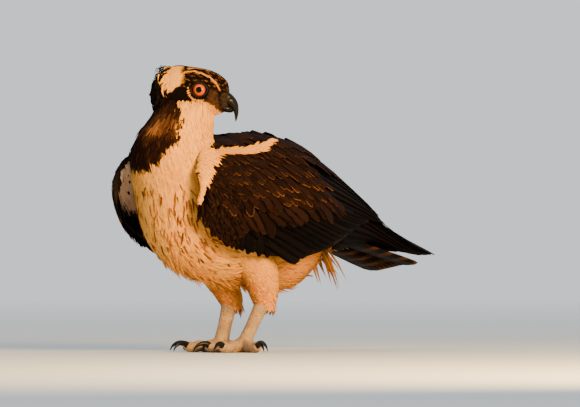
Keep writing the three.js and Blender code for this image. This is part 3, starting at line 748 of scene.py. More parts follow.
SOFT_FEATHERS = feather_material("soft_feathers", rough=0.9, gloss=0.03, rim_from=0.9, barbs_along=8.0)
EDGED_FEATHERS = feather_material("edged_feathers", rough=0.7, gloss=0.03, rim_from=0.78, barbs_along=40.0)
FLIGHT_FEATHERS = feather_material(
    "flight_feathers", rough=0.55, gloss=0.025, rim_from=0.93, barbs_along=130.0)
TAIL_VANES = feather_material(
    "tail_vanes", rough=0.6, gloss=0.03, rim_from=0.93, barbs_along=160.0, bars=True)
SKIN = skin_material()
HORN = horn_material()
EYE = eye_material()
SCALES = scale_material()
LIDS = lid_material()


# Markings


def ripple(points, size, seed):
    """A smooth random-looking value between -1 and 1 from the sum of three slanting waves."""
    rng = np.random.default_rng(seed)
    total = 0
    for _ in range(3):
        way = unit(rng.normal(size=3)) / size
        total = total + np.sin(points @ way * 2 * math.pi + rng.random() * 6.28)
    return total / 3


# Lower and upper limits of the dark stripe through the eye: forward, low, high
STRIPE = [
    [-42, -44, 40],
    [-34, -40, 34],
    [-28, -36, -1],
    [-24, -32, -4],
    [-10, -21, 5],
    [1, -13, 12],
    [5, -11.5, 16],
    [17, -11.5, 16],
    [26, -13, 13],
    [36, -21, 8],
    [40, -25, 6],
    [48, -28, 4],
]


# Two buff lines over the eye: half width, then forward and up along the line, in the head's frame
BROWS = [
    (1.3, [[-4, 20.4], [4, 23.2], [11.8, 23.8], [20, 21.8], [27.9, 18], [37, 9.3], [42, 0]]),
    (1.0, [[2, 26.4], [13, 27.8], [23.3, 26.4], [33, 23], [41.7, 17.5], [48, 11], [52, 6]]),
]
# How far the other markings of the head lie ahead of the numbers that place them
MARKS_AHEAD = 1.6
# Where the dark side of the neck starts, on the bird's left and front: body place and angle
NECK_EDGE = np.array([
    [6.5, 230], [6.65, 178], [6.85, 165], [7.1, 155], [7.38, 148],
    [7.55, 133], [8.1, 135], [8.65, 143], [9.15, 149], [10, 158],
])
# The pale feathers of thighs, shoulders and the near wing's lining
PALE = mix(WHITE_WITH_PAINTED_SUN, CREAM_WITH_PAINTED_SUN, 0.7)


def near_line(f, up, table, half):
    """How close a point of the head is to a line given as forward and up: 1 on it, fading to a half width."""
    xs, ys = np.array(table).T
    steep = np.interp(f, xs, np.hypot(1, np.gradient(ys, xs)))
    off = np.abs(up - np.interp(f, xs, ys)) / steep
    return step(half, 0.4 * half, off) * step(xs[0] - 1, xs[0] + 3, f) * step(xs[-1] + 1, xs[-1] - 1, f)


def from_eye(p):
    """How far points in the head's frame are from the eye's middle, seen from the side."""
    return np.hypot(p[..., 0] - EYE_FORWARD, p[..., 2] - EYE_UP)


def cheek_colour(points, f, up, side):
    """The pale head with fine dark streaks that fan back over the cheek."""
    fan = np.degrees(np.arctan2(up + 12, f - 52))
    streaks = step(0.35, 0.8, np.sin(fan * 0.9 + 2.2 * ripple(points, 14, 16)))
    streaks = streaks * step(-40, -30, up) * step(-6, 6, f)
    return mix(mix(CREAM_WITH_PAINTED_SUN, WHITE_WITH_PAINTED_SUN, step(-14, 8, up)), mix(RUST, BUFF, 0.3) * 0.6, 0.6 * streaks * side)


def with_stripe(colour, points, f, up, side, wobble):
    """Colours crossed by the dark stripe through eye and nape, with grey-brown lores before the eye."""
    low, high = spline(STRIPE, np.clip(f, STRIPE[0][0], STRIPE[-1][0]))
    nape = step(-27, -29.5, f + wobble)
    stripe = step(-1.0, 1.0, high - up + wobble) * step(-1.3, 1.3, up - low + wobble)
    stripe = stripe * np.maximum(np.maximum(side, nape), step(33, 38, f))
    lores = step(22, 30, f) * step(9, -3, up)
    dark = mix(DARK * 1.5, mix(GREY_BROWN, BUFF, 0.04 + 0.05 * ripple(points, 4, 13)), 0.85 * lores)
    return mix(colour, dark, stripe)


def with_crown(colour, points, f, up, aside, wobble):
    """Colours under the dark crown with buff specks, which arches over the eye, and its two buff lines."""
    arch = step(8.5, 10.5, up + 0.30 * np.abs(f - 12)) * step(-6, 0, f + wobble) * step(46, 41, f)
    crown_side = step(14, 17, up + 0.35 * (f - 10)) * step(-8, -2, f + wobble)
    ridge = step(8, 5, aside) * step(-20, -13, f) * step(8, 12, up)
    specks = step(0.35, 0.8, ripple(points, 4.5, 14) + 0.3 * ripple(points, 2.2, 15))
    crowned = mix(DARK * 1.6, BUFF * 0.5, 0.5 * specks)
    colour = mix(colour, crowned, np.maximum(np.maximum(arch, crown_side), ridge))
    lean = 0.9 * ripple(points, 9, 2)
    lines = np.maximum(*(near_line(f + MARKS_AHEAD, up + lean, table, half) for half, table in BROWS))
    return mix(colour, mix(CREAM_WITH_PAINTED_SUN, BUFF, 0.4 + 0.6 * step(20, 34, f)), 0.85 * lines * step(4, 7, aside))


def head_colour(points):
    """The head's markings in its own frame: pale cheek, dark stripe and crown, the bare dark cere at the
    bill's root, a thin pale arc under the eye and a dark ring round it."""
    p = bird_to_head(points)
    f, up = p[..., 0] - MARKS_AHEAD, p[..., 2]
    aside = np.abs(p[..., 1])
    side = step(6, 10, aside)
    wobble = 1.1 * ripple(points, 8, 1) + 0.8 * ripple(points, 3, 12)
    colour = cheek_colour(points, f, up, side)
    colour = with_stripe(colour, points, f, up, side, wobble)
    colour = with_crown(colour, points, f, up, aside, wobble)
    front = step(34.5, 38, f + 0.15 * up) * step(-22, -20, up) * step(4, 0, up)
    colour = mix(colour, DARK * 2, front)
    r = from_eye(p)
    below = np.degrees(np.arctan2(up - EYE_UP, p[..., 0] - EYE_FORWARD))
    below = np.where(below > 90, below - 360, below)
    arc = step(1.3, 0.6, np.abs(r - 13.0)) * side * step(-200, -188, below) * step(-62, -78, below)
    colour = mix(colour, mix(CREAM_WITH_PAINTED_SUN, BUFF, 0.3), arc)
    return mix(colour, DARK, step(12.0, 10.8, r) * side)


def body_colour(place, angle, points):
    """Torso and neck: dark neck with a ragged edge, dark mantle, white throat and breast, warm belly that
    grows darker towards the vent, partly its own rust and partly painted shade.
    """
    angle = np.mod(angle, 360)
    wobble = 7 * ripple(points, 16, 3) + 4 * ripple(points, 6, 4)
    low = np.interp(place, *NECK_EDGE.T) + wobble
    high = np.interp(place, [6.3, 9, 10], [400, 311, 300]) + wobble
    around = np.where(angle < 90, angle + 360, angle)
    neck = step(-3, 3, around - low) * step(-3, 3, high - around)
    neck = neck * step(6.5, 6.65, place + 0.01 * wobble)
    lighter = np.exp(-(((place - 8.3) / 0.35) ** 2) - ((around - 178) / 15) ** 2)
    back = step(84, 76, np.minimum(angle, 360 - angle)) * step(1.2, 1.8, place) * step(6.7, 6.3, place)
    colour = mix(WHITE_WITH_PAINTED_SUN, CREAM_WITH_PAINTED_SUN, 0.5 + 0.5 * ripple(points, 40, 5))
    colour = mix(colour, mix(CREAM_WITH_PAINTED_SUN, RUST, 0.25), step(3.8, 2.4, place))
    # Towards the vent: rustier, which is its own colour, and half as bright, which is painted shade under
    # wings and tail
    colour = mix(colour, mix(CREAM_WITH_PAINTED_SUN, RUST, 0.5) * 0.5, step(2.0, 0.9, place))
    streak = mix(mix(DARK, BROWN, 0.6), BUFF, 0.05 * step(0.1, 0.8, ripple(points, 9, 6)) + 0.3 * lighter)
    return mix(colour, streak, np.maximum(neck, back))


def thigh_colour(points):
    """Warm white thighs, rustier towards the ankle."""
    return mix(PALE, RUST, 0.22 * step(100, 62, points[..., 2]))


def nearest_colour(points):
    """Colour of the skin from the place of a point: head, then thighs, then body."""
    z = points[..., 2]
    place = np.interp(-points[..., 1], [-134, -112, -72, -20, 35, 80], [0, 1, 2, 3, 4, 5])
    place = np.where(z > 190, np.interp(z, [176, 203, 228, 248, 270, 288], [5, 6, 7, 8, 9, 10]), place)
    x, y, cz, tilt = spline(BODY, place)[:4]
    rise = (points[..., 1] - y) * np.sin(np.radians(tilt)) + (z - cz) * np.cos(np.radians(tilt))
    angle = np.degrees(np.arctan2(points[..., 0] - x, rise))
    colour = body_colour(place, angle, points)
    muzzle = step(14, 22, bird_to_head(points)[..., 0]) * step(256, 264, z)
    colour = mix(colour, head_colour(points), np.maximum(step(281, 287, z), muzzle))
    return mix(colour, thigh_colour(points), step(96, 88, z) * step(30, 20, np.abs(points[..., 1])))


# Skin


# How far the skin lies under the surfaces of body, head and thighs
BODY_UNDER, HEAD_UNDER, THIGH_UNDER = 2.6, 0.9, 2.0
# The hollow round an eye: distances from the eye's middle, and how far aside of it the skin may reach there
HOLLOW = [0, 6.5, 8.6, 14, 19], [3, 4, 6.6, 9.2, 13]


def shell(ground, places, columns, lift):
    """A ground's surface at a row of places and all round, raised by a lift, as a closed skin."""
    place, angle = np.meshgrid(places, np.linspace(*ROUND, columns, endpoint=False), indexing="ij")
    return closed_tube(ground(place, angle, lift))


def make_skin():
    """One skin for head, neck, torso and thighs, melted together inside their solids, with eye hollows."""
    back, front = HEAD[0][0], HEAD[-1][0]
    forward = back + (front - back) * (0.5 - 0.5 * np.cos(math.pi * np.linspace(0, 1, 60)))
    parts = [
        shell(body_ground, np.linspace(0, 9.7, 90), 72, -BODY_UNDER),
        shell(head_ground, forward, 64, -HEAD_UNDER),
    ]
    for _, side, _, _, lean in LEGS:
        parts.append(shell(thigh_ground(side, lean), np.linspace(0, 4, 30), 40, -THIGH_UNDER))
    points, quads = melted("skin_raw", parts, 1.7, 6)
    p = bird_to_head(points)
    r = np.hypot((p[:, 0] - EYE_FORWARD) / 1.06, p[:, 2] - EYE_UP)
    near = (p[:, 2] > -25) & (np.abs(p[:, 1]) > 9) & (p[:, 0] > -6)
    limit = EYE_ASIDE + np.interp(r, *HOLLOW)
    p[:, 1] = np.where(near & (np.abs(p[:, 1]) > limit), np.sign(p[:, 1]) * limit, p[:, 1])
    points = head_to_bird(p)
    skin = put_mesh("skin", points, quads, NO_TRIS, colours=(("tint", nearest_colour(points)),))
    dress(skin, SKIN, "pale_feathers", "head", "neck", "torso", "thigh_left", "thigh_right")


make_skin()


# Coat of head, neck and body


def varied(colour, amount, seed):
    """Colours with each feather a little lighter or darker than the next."""
    return colour * (1 + amount * np.random.default_rng(seed).uniform(-1, 0.8, len(colour)))[:, None]


def shades(colour, count, amount, seed):
    """One colour for a number of feathers, each a little lighter or darker than the next."""
    return varied(np.tile(colour, (count, 1)), amount, seed)


def soft_plume(name, laid, tint, edge=1.05, slot="pale_feathers", mirrored=False):
    """One piece of soft feathers whose edges are lighter or darker than their middles by a factor."""
    plume(name, laid, tint, tint * edge, SOFT_FEATHERS, slot, mirrored=mirrored)


def lay_body(place, angle, heading, length, width, lift, thick=0.3, **shape):
    """Feathers on torso or neck, their headings measured from the way to the tail."""
    return lay(body_ground, place, angle, 180 + heading, length, width, lift, thick=thick,
               reach=BODY_REACH, **shape)


def place_shown(place, angle, length):
    """The body station under the middle of the part that shows of a feather that starts at a place."""
    return place - 0.7 * length / stretch(body_ground, place, angle)[0]


def tip_colour(laid, place, angle, length):
    """The body's colours where each laid feather shows."""
    return body_colour(place_shown(place, angle, length), angle, shown(laid))


def coat_head(name, reach, spacing, size, seed):
    """Small feathers over a stretch of the head, shortest round the eye and bill, that part round the eye."""
    rng = np.random.default_rng(seed)

    def keep(f, angle):
        p = bird_to_head(head_ground(f, angle, 0.0))
        bare = (from_eye(p) < 9.0) & (np.abs(p[..., 1]) > 9)
        mouth = (f > 43) & (p[..., 2] < -1) & (p[..., 2] > -18)
        return np.where(bare | mouth, 0.0, 1.0)

    f, angle = sow(head_ground, reach, ROUND, spacing, seed, keep)
    p = bird_to_head(head_ground(f, angle, 0.0))
    r, up = from_eye(p), p[:, 2]
    face = np.maximum(step(24, 42, f), step(20, 10, r))
    round_eye = np.abs(p[:, 1]) > 9
    parting = 24 * step(22, 10, r) * np.sign(up - EYE_UP) * np.sign(p[:, 1])
    heading = 180 + parting + rng.normal(0, 6, len(f)) - 26 * step(-8, -20, up) * np.sign(180 - angle)
    sunk = -1.3 - 1.9 * step(15, 9, r) * round_eye
    top = 0.35 - 1.45 * step(14, 9, r) * round_eye
    laid = lay(head_ground, f, angle, heading, size * (1 - 0.5 * face), 0.3 * size * (1 - 0.3 * face),
               (sunk, top), thick=0.22, curl=rng.normal(0, 8, len(f)), reach=HEAD_REACH)
    soft_plume(name, laid, varied(head_colour(shown(laid)), 0.12, seed), 1.08)


def coat_crest():
    """Shaggy hackles of the nape and the crown's rear that stand off the head."""
    rng = np.random.default_rng(13)
    f, angle = sow(head_ground, (-38, -12), ROUND, 2.0, 9, lambda f, a: np.cos(np.radians(a)) > -0.8)
    up = bird_to_head(head_ground(f, angle, 0.0))[:, 2]
    n = len(f)
    back = step(-9, -21, f)
    loose = back * rng.random(n) ** 0.7
    heading = 180 - 50 * back * np.sign(180 - angle) + rng.normal(0, 18, n)
    laid = lay(head_ground, f, angle, heading, 8 + 10 * loose, rng.uniform(1.6, 3.0, n),
               (-1.0, 0.5 + 13 * loose**2), thick=0.3, curl=rng.normal(0, 16, n), reach=HEAD_REACH)
    tint = varied(head_colour(shown(laid)), 0.15, 6)
    dark_share = back * np.interp(up, [-20, 4, 10, 22, 27], [0.95, 0.8, 0.12, 0.3, 0.95])
    dark = rng.random(n) < dark_share
    tint = np.where(dark[:, None], DARK * rng.uniform(1, 3, n)[:, None], tint)
    soft_plume("coat_crest", laid, tint, 0.9, "hackles")


def coat_body(places, spacing, seed, lengths, widths, tops, keep=None):
    """Sleek feathers all round a stretch of neck or torso, and their colours."""
    rng = np.random.default_rng(seed)
    place, angle = sow(body_ground, places, ROUND, spacing, seed, keep)
    n = len(place)
    length = rng.uniform(*lengths, n)
    laid = lay_body(place, angle, rng.normal(0, 5, n), length, rng.uniform(*widths, n),
                    (-2.2, rng.uniform(*tops, n)), 0.2, outline=SLEEK, curl=rng.normal(0, 5, n))
    return laid, varied(tip_colour(laid, place, angle, length), 0.18, seed)


def coat_neck():
    """Lance-shaped feathers of the neck, dark behind and white in front."""
    laid, tint = coat_body(
        places=(6.3, 9.62), spacing=1.9, seed=4, lengths=(13, 20), widths=(2.4, 4.0), tops=(-0.5, 0.9))
    soft_plume("coat_neck", laid, tint, 1.06, "hackles")


def coat_throat():
    """Feathers that run from under the cheeks and chin over the top of the neck."""
    rng = np.random.default_rng(26)
    n = 800
    place = rng.uniform(9.3, 9.95, n)
    angle = rng.uniform(*ROUND, n)
    length = rng.uniform(14, 22, n)
    laid = lay_body(place, angle, rng.normal(0, 8, n), length, rng.uniform(2.2, 3.8, n),
                    (rng.uniform(-1.0, 2.5, n), rng.uniform(0.2, 1.6, n)), 0.2, outline=SLEEK,
                    curl=rng.normal(0, 6, n))
    tint = varied(tip_colour(laid, place, angle, length), 0.1, 26)
    soft_plume("coat_throat", laid, tint, 1.06, "hackles")


def coat_hackles():
    """Longer dark feathers down the side of the neck that end raggedly over the white."""
    rng = np.random.default_rng(15)
    n = 760
    place = rng.uniform(7.5, 9.7, n)
    low = np.interp(place - 0.7, *NECK_EDGE.T)
    angle = low + 4 + 84 * rng.random(n) ** 1.3
    length = rng.uniform(18, 28, n)
    high = rng.uniform(-0.4, 1.0, n) + 2.0 * (rng.random(n) < 0.15)
    laid = lay_body(place, angle, rng.normal(0, 7, n), length, rng.uniform(2.2, 3.8, n), (-2.0, high),
                    0.25, outline=SLEEK, curl=rng.normal(0, 7, n))
    shade = body_colour(place_shown(place, angle, length), np.maximum(angle, low + 22), shown(laid))
    tint = varied(np.minimum(shade, BUFF * 0.3), 0.45, 15)
    soft_plume("coat_hackles", laid, tint, 1.3, "hackles")


def coat_breast():
    """Sleek feathers of the breast, and sparser ones on the mantle between the shoulders."""
    laid, tint = coat_body(
        places=(4.3, 6.75), spacing=2.2, seed=5, lengths=(16, 24), widths=(3.0, 5.2), tops=(-0.1, 1.3),
        keep=lambda place, angle: np.where(np.cos(np.radians(angle)) > 0.3, 0.35, 1.0))
    soft_plume("coat_breast", laid, tint, 1.06)


def coat_streaks():
    """Thin dark and rusty feathers among the pale ones of breast and belly."""
    rng = np.random.default_rng(22)
    n = 330
    place = 3.2 + 3.2 * rng.random(n) ** 0.9
    angle = 180 + rng.uniform(-82, 82, n)
    laid = lay_body(place, angle, rng.normal(0, 9, n), rng.uniform(15, 25, n), rng.uniform(1.4, 2.6, n),
                    (-1.0, rng.uniform(1.7, 2.8, n)), 0.25, curl=rng.normal(0, 6, n))
    rusty = rng.random(n)
    tint = mix(mix(BROWN, RUST * 0.8, rusty), CREAM_WITH_PAINTED_SUN, 0.2 * rng.random(n))
    soft_plume("coat_streaks", laid, tint, 1.1)


def coat_sides():
    """Pale feathers of the breast's sides that fan out over the wings' front edges."""
    rng = np.random.default_rng(16)
    n = 900
    place = rng.uniform(4.4, 7.0, n)
    side = np.where(rng.random(n) < 0.5, 1, -1)
    out = rng.random(n)
    angle = 180 - side * (62 + 34 * out)
    laid = lay_body(place, angle, side * (26 + 10 * out + rng.normal(0, 7, n)), rng.uniform(18, 30, n),
                    rng.uniform(2.6, 4.4, n), (-1.5, rng.uniform(0.8, 2.5, n) + 6.5 * out),
                    curl=side * rng.normal(6, 6, n))
    tint = varied(body_colour(place, 180, body_ground(place, angle, 0.0)), 0.1, 17)
    soft_plume("coat_sides", laid, tint)


def coat_belly():
    """Feathers of belly, flanks and vent, which grow longer and looser towards the tail."""
    rng = np.random.default_rng(18)
    place, angle = sow(body_ground, (0.25, 4.5), (62, 298), 2.75, 6)
    n = len(place)
    loose = step(3.0, 0.8, place) * step(0.2, -0.6, np.cos(np.radians(angle)))
    length = rng.uniform(18, 27, n) * (1 + 0.5 * loose)
    laid = lay_body(place, angle, rng.normal(0, 6, n), length, rng.uniform(3.4, 5.8, n),
                    (-2.2, 0.1 + (1.0 + 1.4 * loose) * rng.random(n)), 0.22, outline=SLEEK,
                    curl=rng.normal(0, 5, n), droop=loose * 4 * rng.random(n))
    tint = varied(tip_colour(laid, place, angle, length), 0.1, 9)
    soft_plume("coat_belly", laid, tint)


def coat_fringe():
    """Pointed wisps that lie over the belly and end raggedly along its lower edge."""
    rng = np.random.default_rng(19)
    n = 620
    place = rng.uniform(1.4, 5.2, n)
    angle = 180 + rng.normal(0, 38, n)
    bottom = step(30, 8, np.abs(angle - 180))
    laid = lay_body(place, angle, rng.normal(0, 7, n), rng.uniform(20, 34, n), rng.uniform(2.2, 4.2, n),
                    (-1.8, rng.uniform(0.9, 2.6, n)), droop=bottom * rng.uniform(1, 8, n),
                    curl=rng.normal(0, 6, n))
    tint = varied(mix(CREAM_WITH_PAINTED_SUN, RUST, 0.45 * rng.random(n) ** 2), 0.15, 20)
    soft_plume("coat_fringe", laid, tint)


def coat_flanks():
    """Long flank feathers that lie over the tops of the thighs."""
    rng = np.random.default_rng(27)
    n = 460
    place = rng.uniform(2.6, 4.6, n)
    side = np.where(rng.random(n) < 0.5, 1, -1)
    angle = 180 - side * rng.uniform(26, 84, n)
    length = rng.uniform(22, 36, n)
    laid = lay_body(place, angle, side * rng.normal(16, 7, n), length, rng.uniform(3.4, 5.6, n),
                    (-1.6, rng.uniform(0.6, 5.0, n)), 0.25, outline=SLEEK, curl=side * rng.normal(6, 6, n))
    tint = varied(tip_colour(laid, place, angle, length), 0.12, 28)
    soft_plume("coat_flanks", laid, tint)


def coat_rump():
    """Dark feathers that run from the back under the wings over the root of the tail."""
    rng = np.random.default_rng(36)
    n = 380
    place = rng.uniform(0.1, 3.6, n)
    angle = rng.uniform(-104, 104, n)
    laid = lay_body(place, np.mod(angle, 360), rng.normal(0, 5, n), rng.uniform(30, 44, n),
                    rng.uniform(8, 12, n), (-2.0, rng.uniform(0.0, 5.0, n)), outline=SLEEK)
    soft_plume("coat_rump", laid, shades(mix(DARK, BROWN, 0.5), n, 0.3, 37), 1.2, "dark_feathers")


def coat_drops():
    """Long thin feathers that hang loose from the vent and from under the root of the tail."""
    rng = np.random.default_rng(24)
    n, m = 44, 16
    place = rng.uniform(0.25, 1.5, n)
    angle = 180 + rng.uniform(-50, 50, n)
    vent = lay_body(place, angle, rng.normal(0, 12, n), rng.uniform(30, 52, n), rng.uniform(4.4, 7.0, n),
                    (-1.5, rng.uniform(1.0, 4.0, n)), 0.4, droop=rng.uniform(6, 24, n),
                    curl=rng.normal(0, 10, n))
    aside = rng.uniform(-18, 18, m)
    under = lay(under_tail, rng.uniform(2, 26, m), aside, rng.normal(0, 12, m), rng.uniform(34, 58, m),
                rng.uniform(4.6, 7.0, m), (-1.0, rng.uniform(0.5, 3.0, m)), thick=0.4,
                droop=rng.uniform(24, 52, m), reach=TAIL_REACH)
    # The buff at about half brightness: painted shade between the thighs and under the tail
    tint = shades(mix(CREAM_WITH_PAINTED_SUN, BUFF, 0.6) * 0.55, n + m, 0.4, 25)
    soft_plume("coat_drops", merged([vent, under]), tint, 0.7)


def coat_thigh(name, side, lean):
    """Feathers of a thigh, rusty in front, with a ragged fringe over the ankle."""
    rng = np.random.default_rng(12 + side)
    ground = thigh_ground(side, lean)
    place, turn = sow(ground, (0.8, 3.95), ROUND, 1.9, 10 + side)
    n = len(place)
    facing_back = np.cos(np.radians(turn))
    low, behind = step(2.6, 3.9, place), step(-0.2, 0.9, facing_back)
    laid = lay(ground, place, turn, rng.normal(0, 8, n),
               rng.uniform(11, 18, n) * (1 - 0.35 * low * (1 - behind)), rng.uniform(2.4, 4.0, n),
               (-2.2, 0.1 + (0.7 + 3.2 * behind * low) * rng.random(n)), thick=0.22,
               curl=rng.normal(0, 8, n), reach=THIGH_REACH)
    rusty = step(0.1, -0.9, facing_back) * (rng.random(n) < 0.5) * step(0.6, 2.2, place)
    tint = varied(mix(thigh_colour(ground(place, turn, 0.0)), RUST, 0.75 * rusty), 0.14, 11)
    soft_plume("coat_thigh_" + name, laid, tint)


coat_head("coat_face", reach=(-12, 48.5), spacing=0.98, size=5.4, seed=3)
coat_head("coat_nape", reach=(-38.5, -12), spacing=1.5, size=8.6, seed=4)
coat_crest()
coat_neck()
coat_throat()
coat_hackles()
coat_breast()
coat_streaks()
coat_sides()
coat_belly()
coat_fringe()
coat_flanks()
coat_rump()
coat_drops()
for leg_name, leg_side, _, _, leg_lean in LEGS:
    coat_thigh(leg_name, leg_side, leg_lean)


# Wings


def core_under(y):
    """How far the wing's core lies under the surface of its feathers, less at the bend."""
    return 3.6 * np.minimum(1, (y - BEND_Y) / 50) + 0.5


def core_depth(y):
    """How thick the wing's core is at its middle."""
    return 16 * np.sin(math.pi * np.minimum(1, 0.12 + 0.8 * (y + 142) / 338)) + 1.5


def inner_ground(y, share, lift):
    """The core's inner face, raised away from the wing."""
    deep = 1.2 + core_depth(y) * np.sin(math.pi * (0.06 + 0.88 * share))
    return wing_ground(y, share, -core_under(y) - deep - lift)


def wing_core(name, mirrored):
    """The wing under its feathers: the outer surface sunk a little, closed by an inner face."""
    y = np.linspace(-142, 168, 70)[:, None]
    deep = core_depth(y)
    reach = 0.97 - 0.42 * np.maximum(0, (y - 20) / 148) ** 1.5
    under = core_under(y)
    s = np.linspace(0, 1, 24)[None]
    outer = wing_ground(y, 0.01 + (reach - 0.01) * s, -under)
    hollow = under + 1.2 + deep * np.sin(math.pi * (0.06 + 0.88 * s))
    inner = wing_ground(y, 0.03 + (reach - 0.06) * s, -hollow)
    points, quads, tris = join([closed_tube(np.concatenate([outer, inner[:, ::-1]], 1))])
    points[:, 0] = np.maximum(points[:, 0], CORE_APART)
    if mirrored:
        points, quads, tris = points * [-1, 1, 1], quads[:, ::-1], tris[:, ::-1]
    colour = np.tile(DARK * 1.3, (len(points), 1))
    dress(put_mesh(name, points, quads, tris, colours=(("tint", colour),)), SKIN, "dark_feathers")


# Rows of wing feathers, lowest first: how many, the line of roots and the line of tips from rear to front as
# y and share, width, lifts at root and tip, roll in degrees, the edging's strength, and whether they are long
WING_ROWS = [
    (9, (140, 0.14), (92, 0.86), (338, 0.14), (246, 0.86), 21, (-4.4, -3.4), 2, 0.02, True),
    (18, (66, 0.40), (-112, 0.70), (222, 0.36), (20, 0.99), 21, (-3.6, -0.4), 6, 0.03, True),
    (6, (76, 0.04), (62, 0.36), (222, 0.06), (214, 0.34), 26, (-3.2, 0.6), 5, 0.05, True),
    (22, (56, 0.36), (-128, 0.62), (118, 0.53), (-92, 0.88), 20, (-3.0, 0.0), 6, 0.10, False),
    (26, (50, 0.28), (-130, 0.50), (96, 0.46), (-106, 0.74), 16.5, (-2.8, 0.5), 6, 0.42, False),
    (29, (48, 0.21), (-132, 0.40), (86, 0.38), (-112, 0.62), 14.5, (-2.6, 0.8), 6, 0.48, False),
    (32, (46, 0.15), (-132, 0.31), (78, 0.30), (-116, 0.51), 13, (-2.4, 1.0), 6, 0.34, False),
    (34, (44, 0.10), (-132, 0.23), (70, 0.23), (-118, 0.41), 12, (-2.2, 1.2), 6, 0.26, False),
    (36, (42, 0.06), (-132, 0.15), (64, 0.17), (-120, 0.31), 11, (-2.0, 1.4), 6, 0.22, False),
    (10, (72, 0.03), (-40, 0.05), (152, 0.13), (20, 0.18), 23, (-3.0, 1.2), 5, 0.16, False),
    (16, (76, 0.0), (-96, 0.0), (118, 0.08), (-66, 0.1), 19, (-2.2, 1.4), 4, 0.14, False),
]


# Half the width of the widest wing feather, with a margin
WING_HALF = 14


def wing_row(rng, seed, count, root_a, root_b, tip_a, tip_b, wide, lift, roll, strength, long_row):
    """One row of a folded wing: laid feathers, their colours and the colours of their edges."""
    s = np.linspace(0, 1, count)[:, None]
    jitter = [2.4, 0.004] if long_row else [2.6, 0.011]
    root, tip = (
        np.array(first) + s * (np.array(last) - first) + rng.normal(0, 1, (count, 2)) * jitter
        for first, last in ((root_a, root_b), (tip_a, tip_b))
    )
    y, share = root.T
    run, sink = ((tip - root) * np.stack(stretch(wing_ground, y, share), -1)).T
    # The outermost flight feathers lie in steps, each under the one before
    drop = 0.9 * np.arange(count) if lift[0] < -4 else 0
    top = lift[1] - drop + rng.uniform(-0.5, 0.5, count) * (not long_row)
    laid = lay(wing_ground, y, share, np.degrees(np.arctan2(sink, run)), np.hypot(run, sink),
               wide * rng.uniform(0.9, 1.08, count), (lift[0] - drop, top), section=VANE,
               outline=FLIGHT if long_row else ROUNDED, thick=0.32, cells=True, tilt=-roll,
               curl=0 if long_row else rng.normal(0, 6, count))
    tint = shades(DARK if long_row else mix(DARK, BROWN, 0.4), count, 0.45, seed + count)
    return laid, tint, mix(tint, BUFF, strength * rng.uniform(0.2, 1.0, count) ** 2)


def wing_feathers(name, mirrored, seed):
    """Every row of the folded wing, in two pieces: flight feathers and coverts."""
    rng = np.random.default_rng(seed)
    flight, coverts = [], []
    for row in WING_ROWS:
        (flight if row[-1] else coverts).append(wing_row(rng, seed, *row))
    for kind, rows, material in (("flight", flight, FLIGHT_FEATHERS), ("coverts", coverts, EDGED_FEATHERS)):
        laid = merged([row[0] for row in rows])
        tint, edge = (np.concatenate([row[i] for row in rows]) for i in (1, 2))
        across = np.clip(laid["across"] / WING_HALF, -1, 1)
        laid["uv"] = in_cells(laid["feather"], np.stack([0.5 + 0.5 * across, laid["along"]], -1))
        laid["points"][:, 0] = np.maximum(laid["points"][:, 0], FEATHERS_APART)
        plume(name + "_" + kind, laid, tint, edge, material, "dark_feathers", name, mirrored=mirrored)


def shoulder_tufts(name, mirrored, seed):
    """Small sleek feathers over the bend of the wing and down its front edge."""
    rng = np.random.default_rng(seed)
    y, share = sow(wing_ground, (-142.5, -70), (0.0, 0.97), 2.6, seed,
                   lambda y, q: np.clip(1.5 - (y + 142) / (46 - 14 * q), 0, 1))
    n = len(y)
    laid = lay(wing_ground, y, share, 42 + rng.normal(0, 7, n), rng.uniform(11, 17, n),
               rng.uniform(4.0, 6.4, n), (-1.8, 0.5 + 0.7 * rng.random(n)), outline=ROUNDED, thick=0.22,
               reach=BEND_REACH)
    tint = shades(mix(DARK, BROWN, 0.35), n, 0.4, seed)
    edge = mix(tint, BUFF, 0.16 * rng.random(n) ** 2)
    plume(name + "_shoulder", laid, tint, edge, EDGED_FEATHERS, "dark_feathers", mirrored=mirrored)


def inner_tufts(name, mirrored, seed):
    """Pale feathers with a few dark spots on the inside of the wing's bend."""
    rng = np.random.default_rng(seed)
    y, share = sow(inner_ground, (-141, -66), (0.04, 0.92), 2.6, seed)
    n = len(y)
    laid = lay(inner_ground, y, share, 40 + rng.normal(0, 8, n), rng.uniform(11, 17, n),
               rng.uniform(4.0, 6.2, n), (-1.0, 0.5 + 0.7 * rng.random(n)), outline=ROUNDED, thick=0.24,
               reach=BEND_REACH)
    darker = step(0.66, 0.76, share + 0.0015 * (y + 110) + 0.02 * rng.normal(0, 1, n))
    # The far wing's lining is paler: painted light where it lies in shade
    pale = mix(FAR_LINING_PAINTED_LIGHT if mirrored else PALE, DARK, darker)
    spotted = (rng.random(n) < 0.045)[:, None]
    tint = varied(np.where(spotted, DARK, pale), 0.12, seed)
    soft_plume(name + "_lining", laid, tint, 1.0, mirrored=mirrored)


def front_fringe():
    """Pale breast feathers that lie over the near wing's front edge and end raggedly on its coverts."""
    rng = np.random.default_rng(29)
    n = 760
    share = 0.9 * rng.random(n) ** 2
    reach = np.interp(share, [0, 0.06, 0.12, 0.15, 0.18, 0.21, 0.25, 0.3, 0.4, 0.9],
                      [-110, -106, -105, -111, -118, -126, -132, -138, -141, -142])
    length = np.interp(share, [0.2, 0.34], [15, 5.5]) * rng.uniform(0.6, 1.25, n)
    y = np.maximum(BEND_Y + (reach - BEND_Y - 0.6 * length) * rng.random(n) ** 0.8, BEND_Y)
    laid = lay(wing_ground, y, share, 40 + rng.normal(0, 10, n), length, rng.uniform(2.0, 3.4, n),
               (-0.8, 1.0 + 1.8 * rng.random(n)), outline=SLEEK, thick=0.25, curl=rng.normal(0, 8, n),
               reach=WING_REACH)
    laid["points"][:, 0] = np.maximum(laid["points"][:, 0], CORE_APART)
    soft_plume("coat_fringe_left", laid, shades(PALE, n, 0.2, 30))


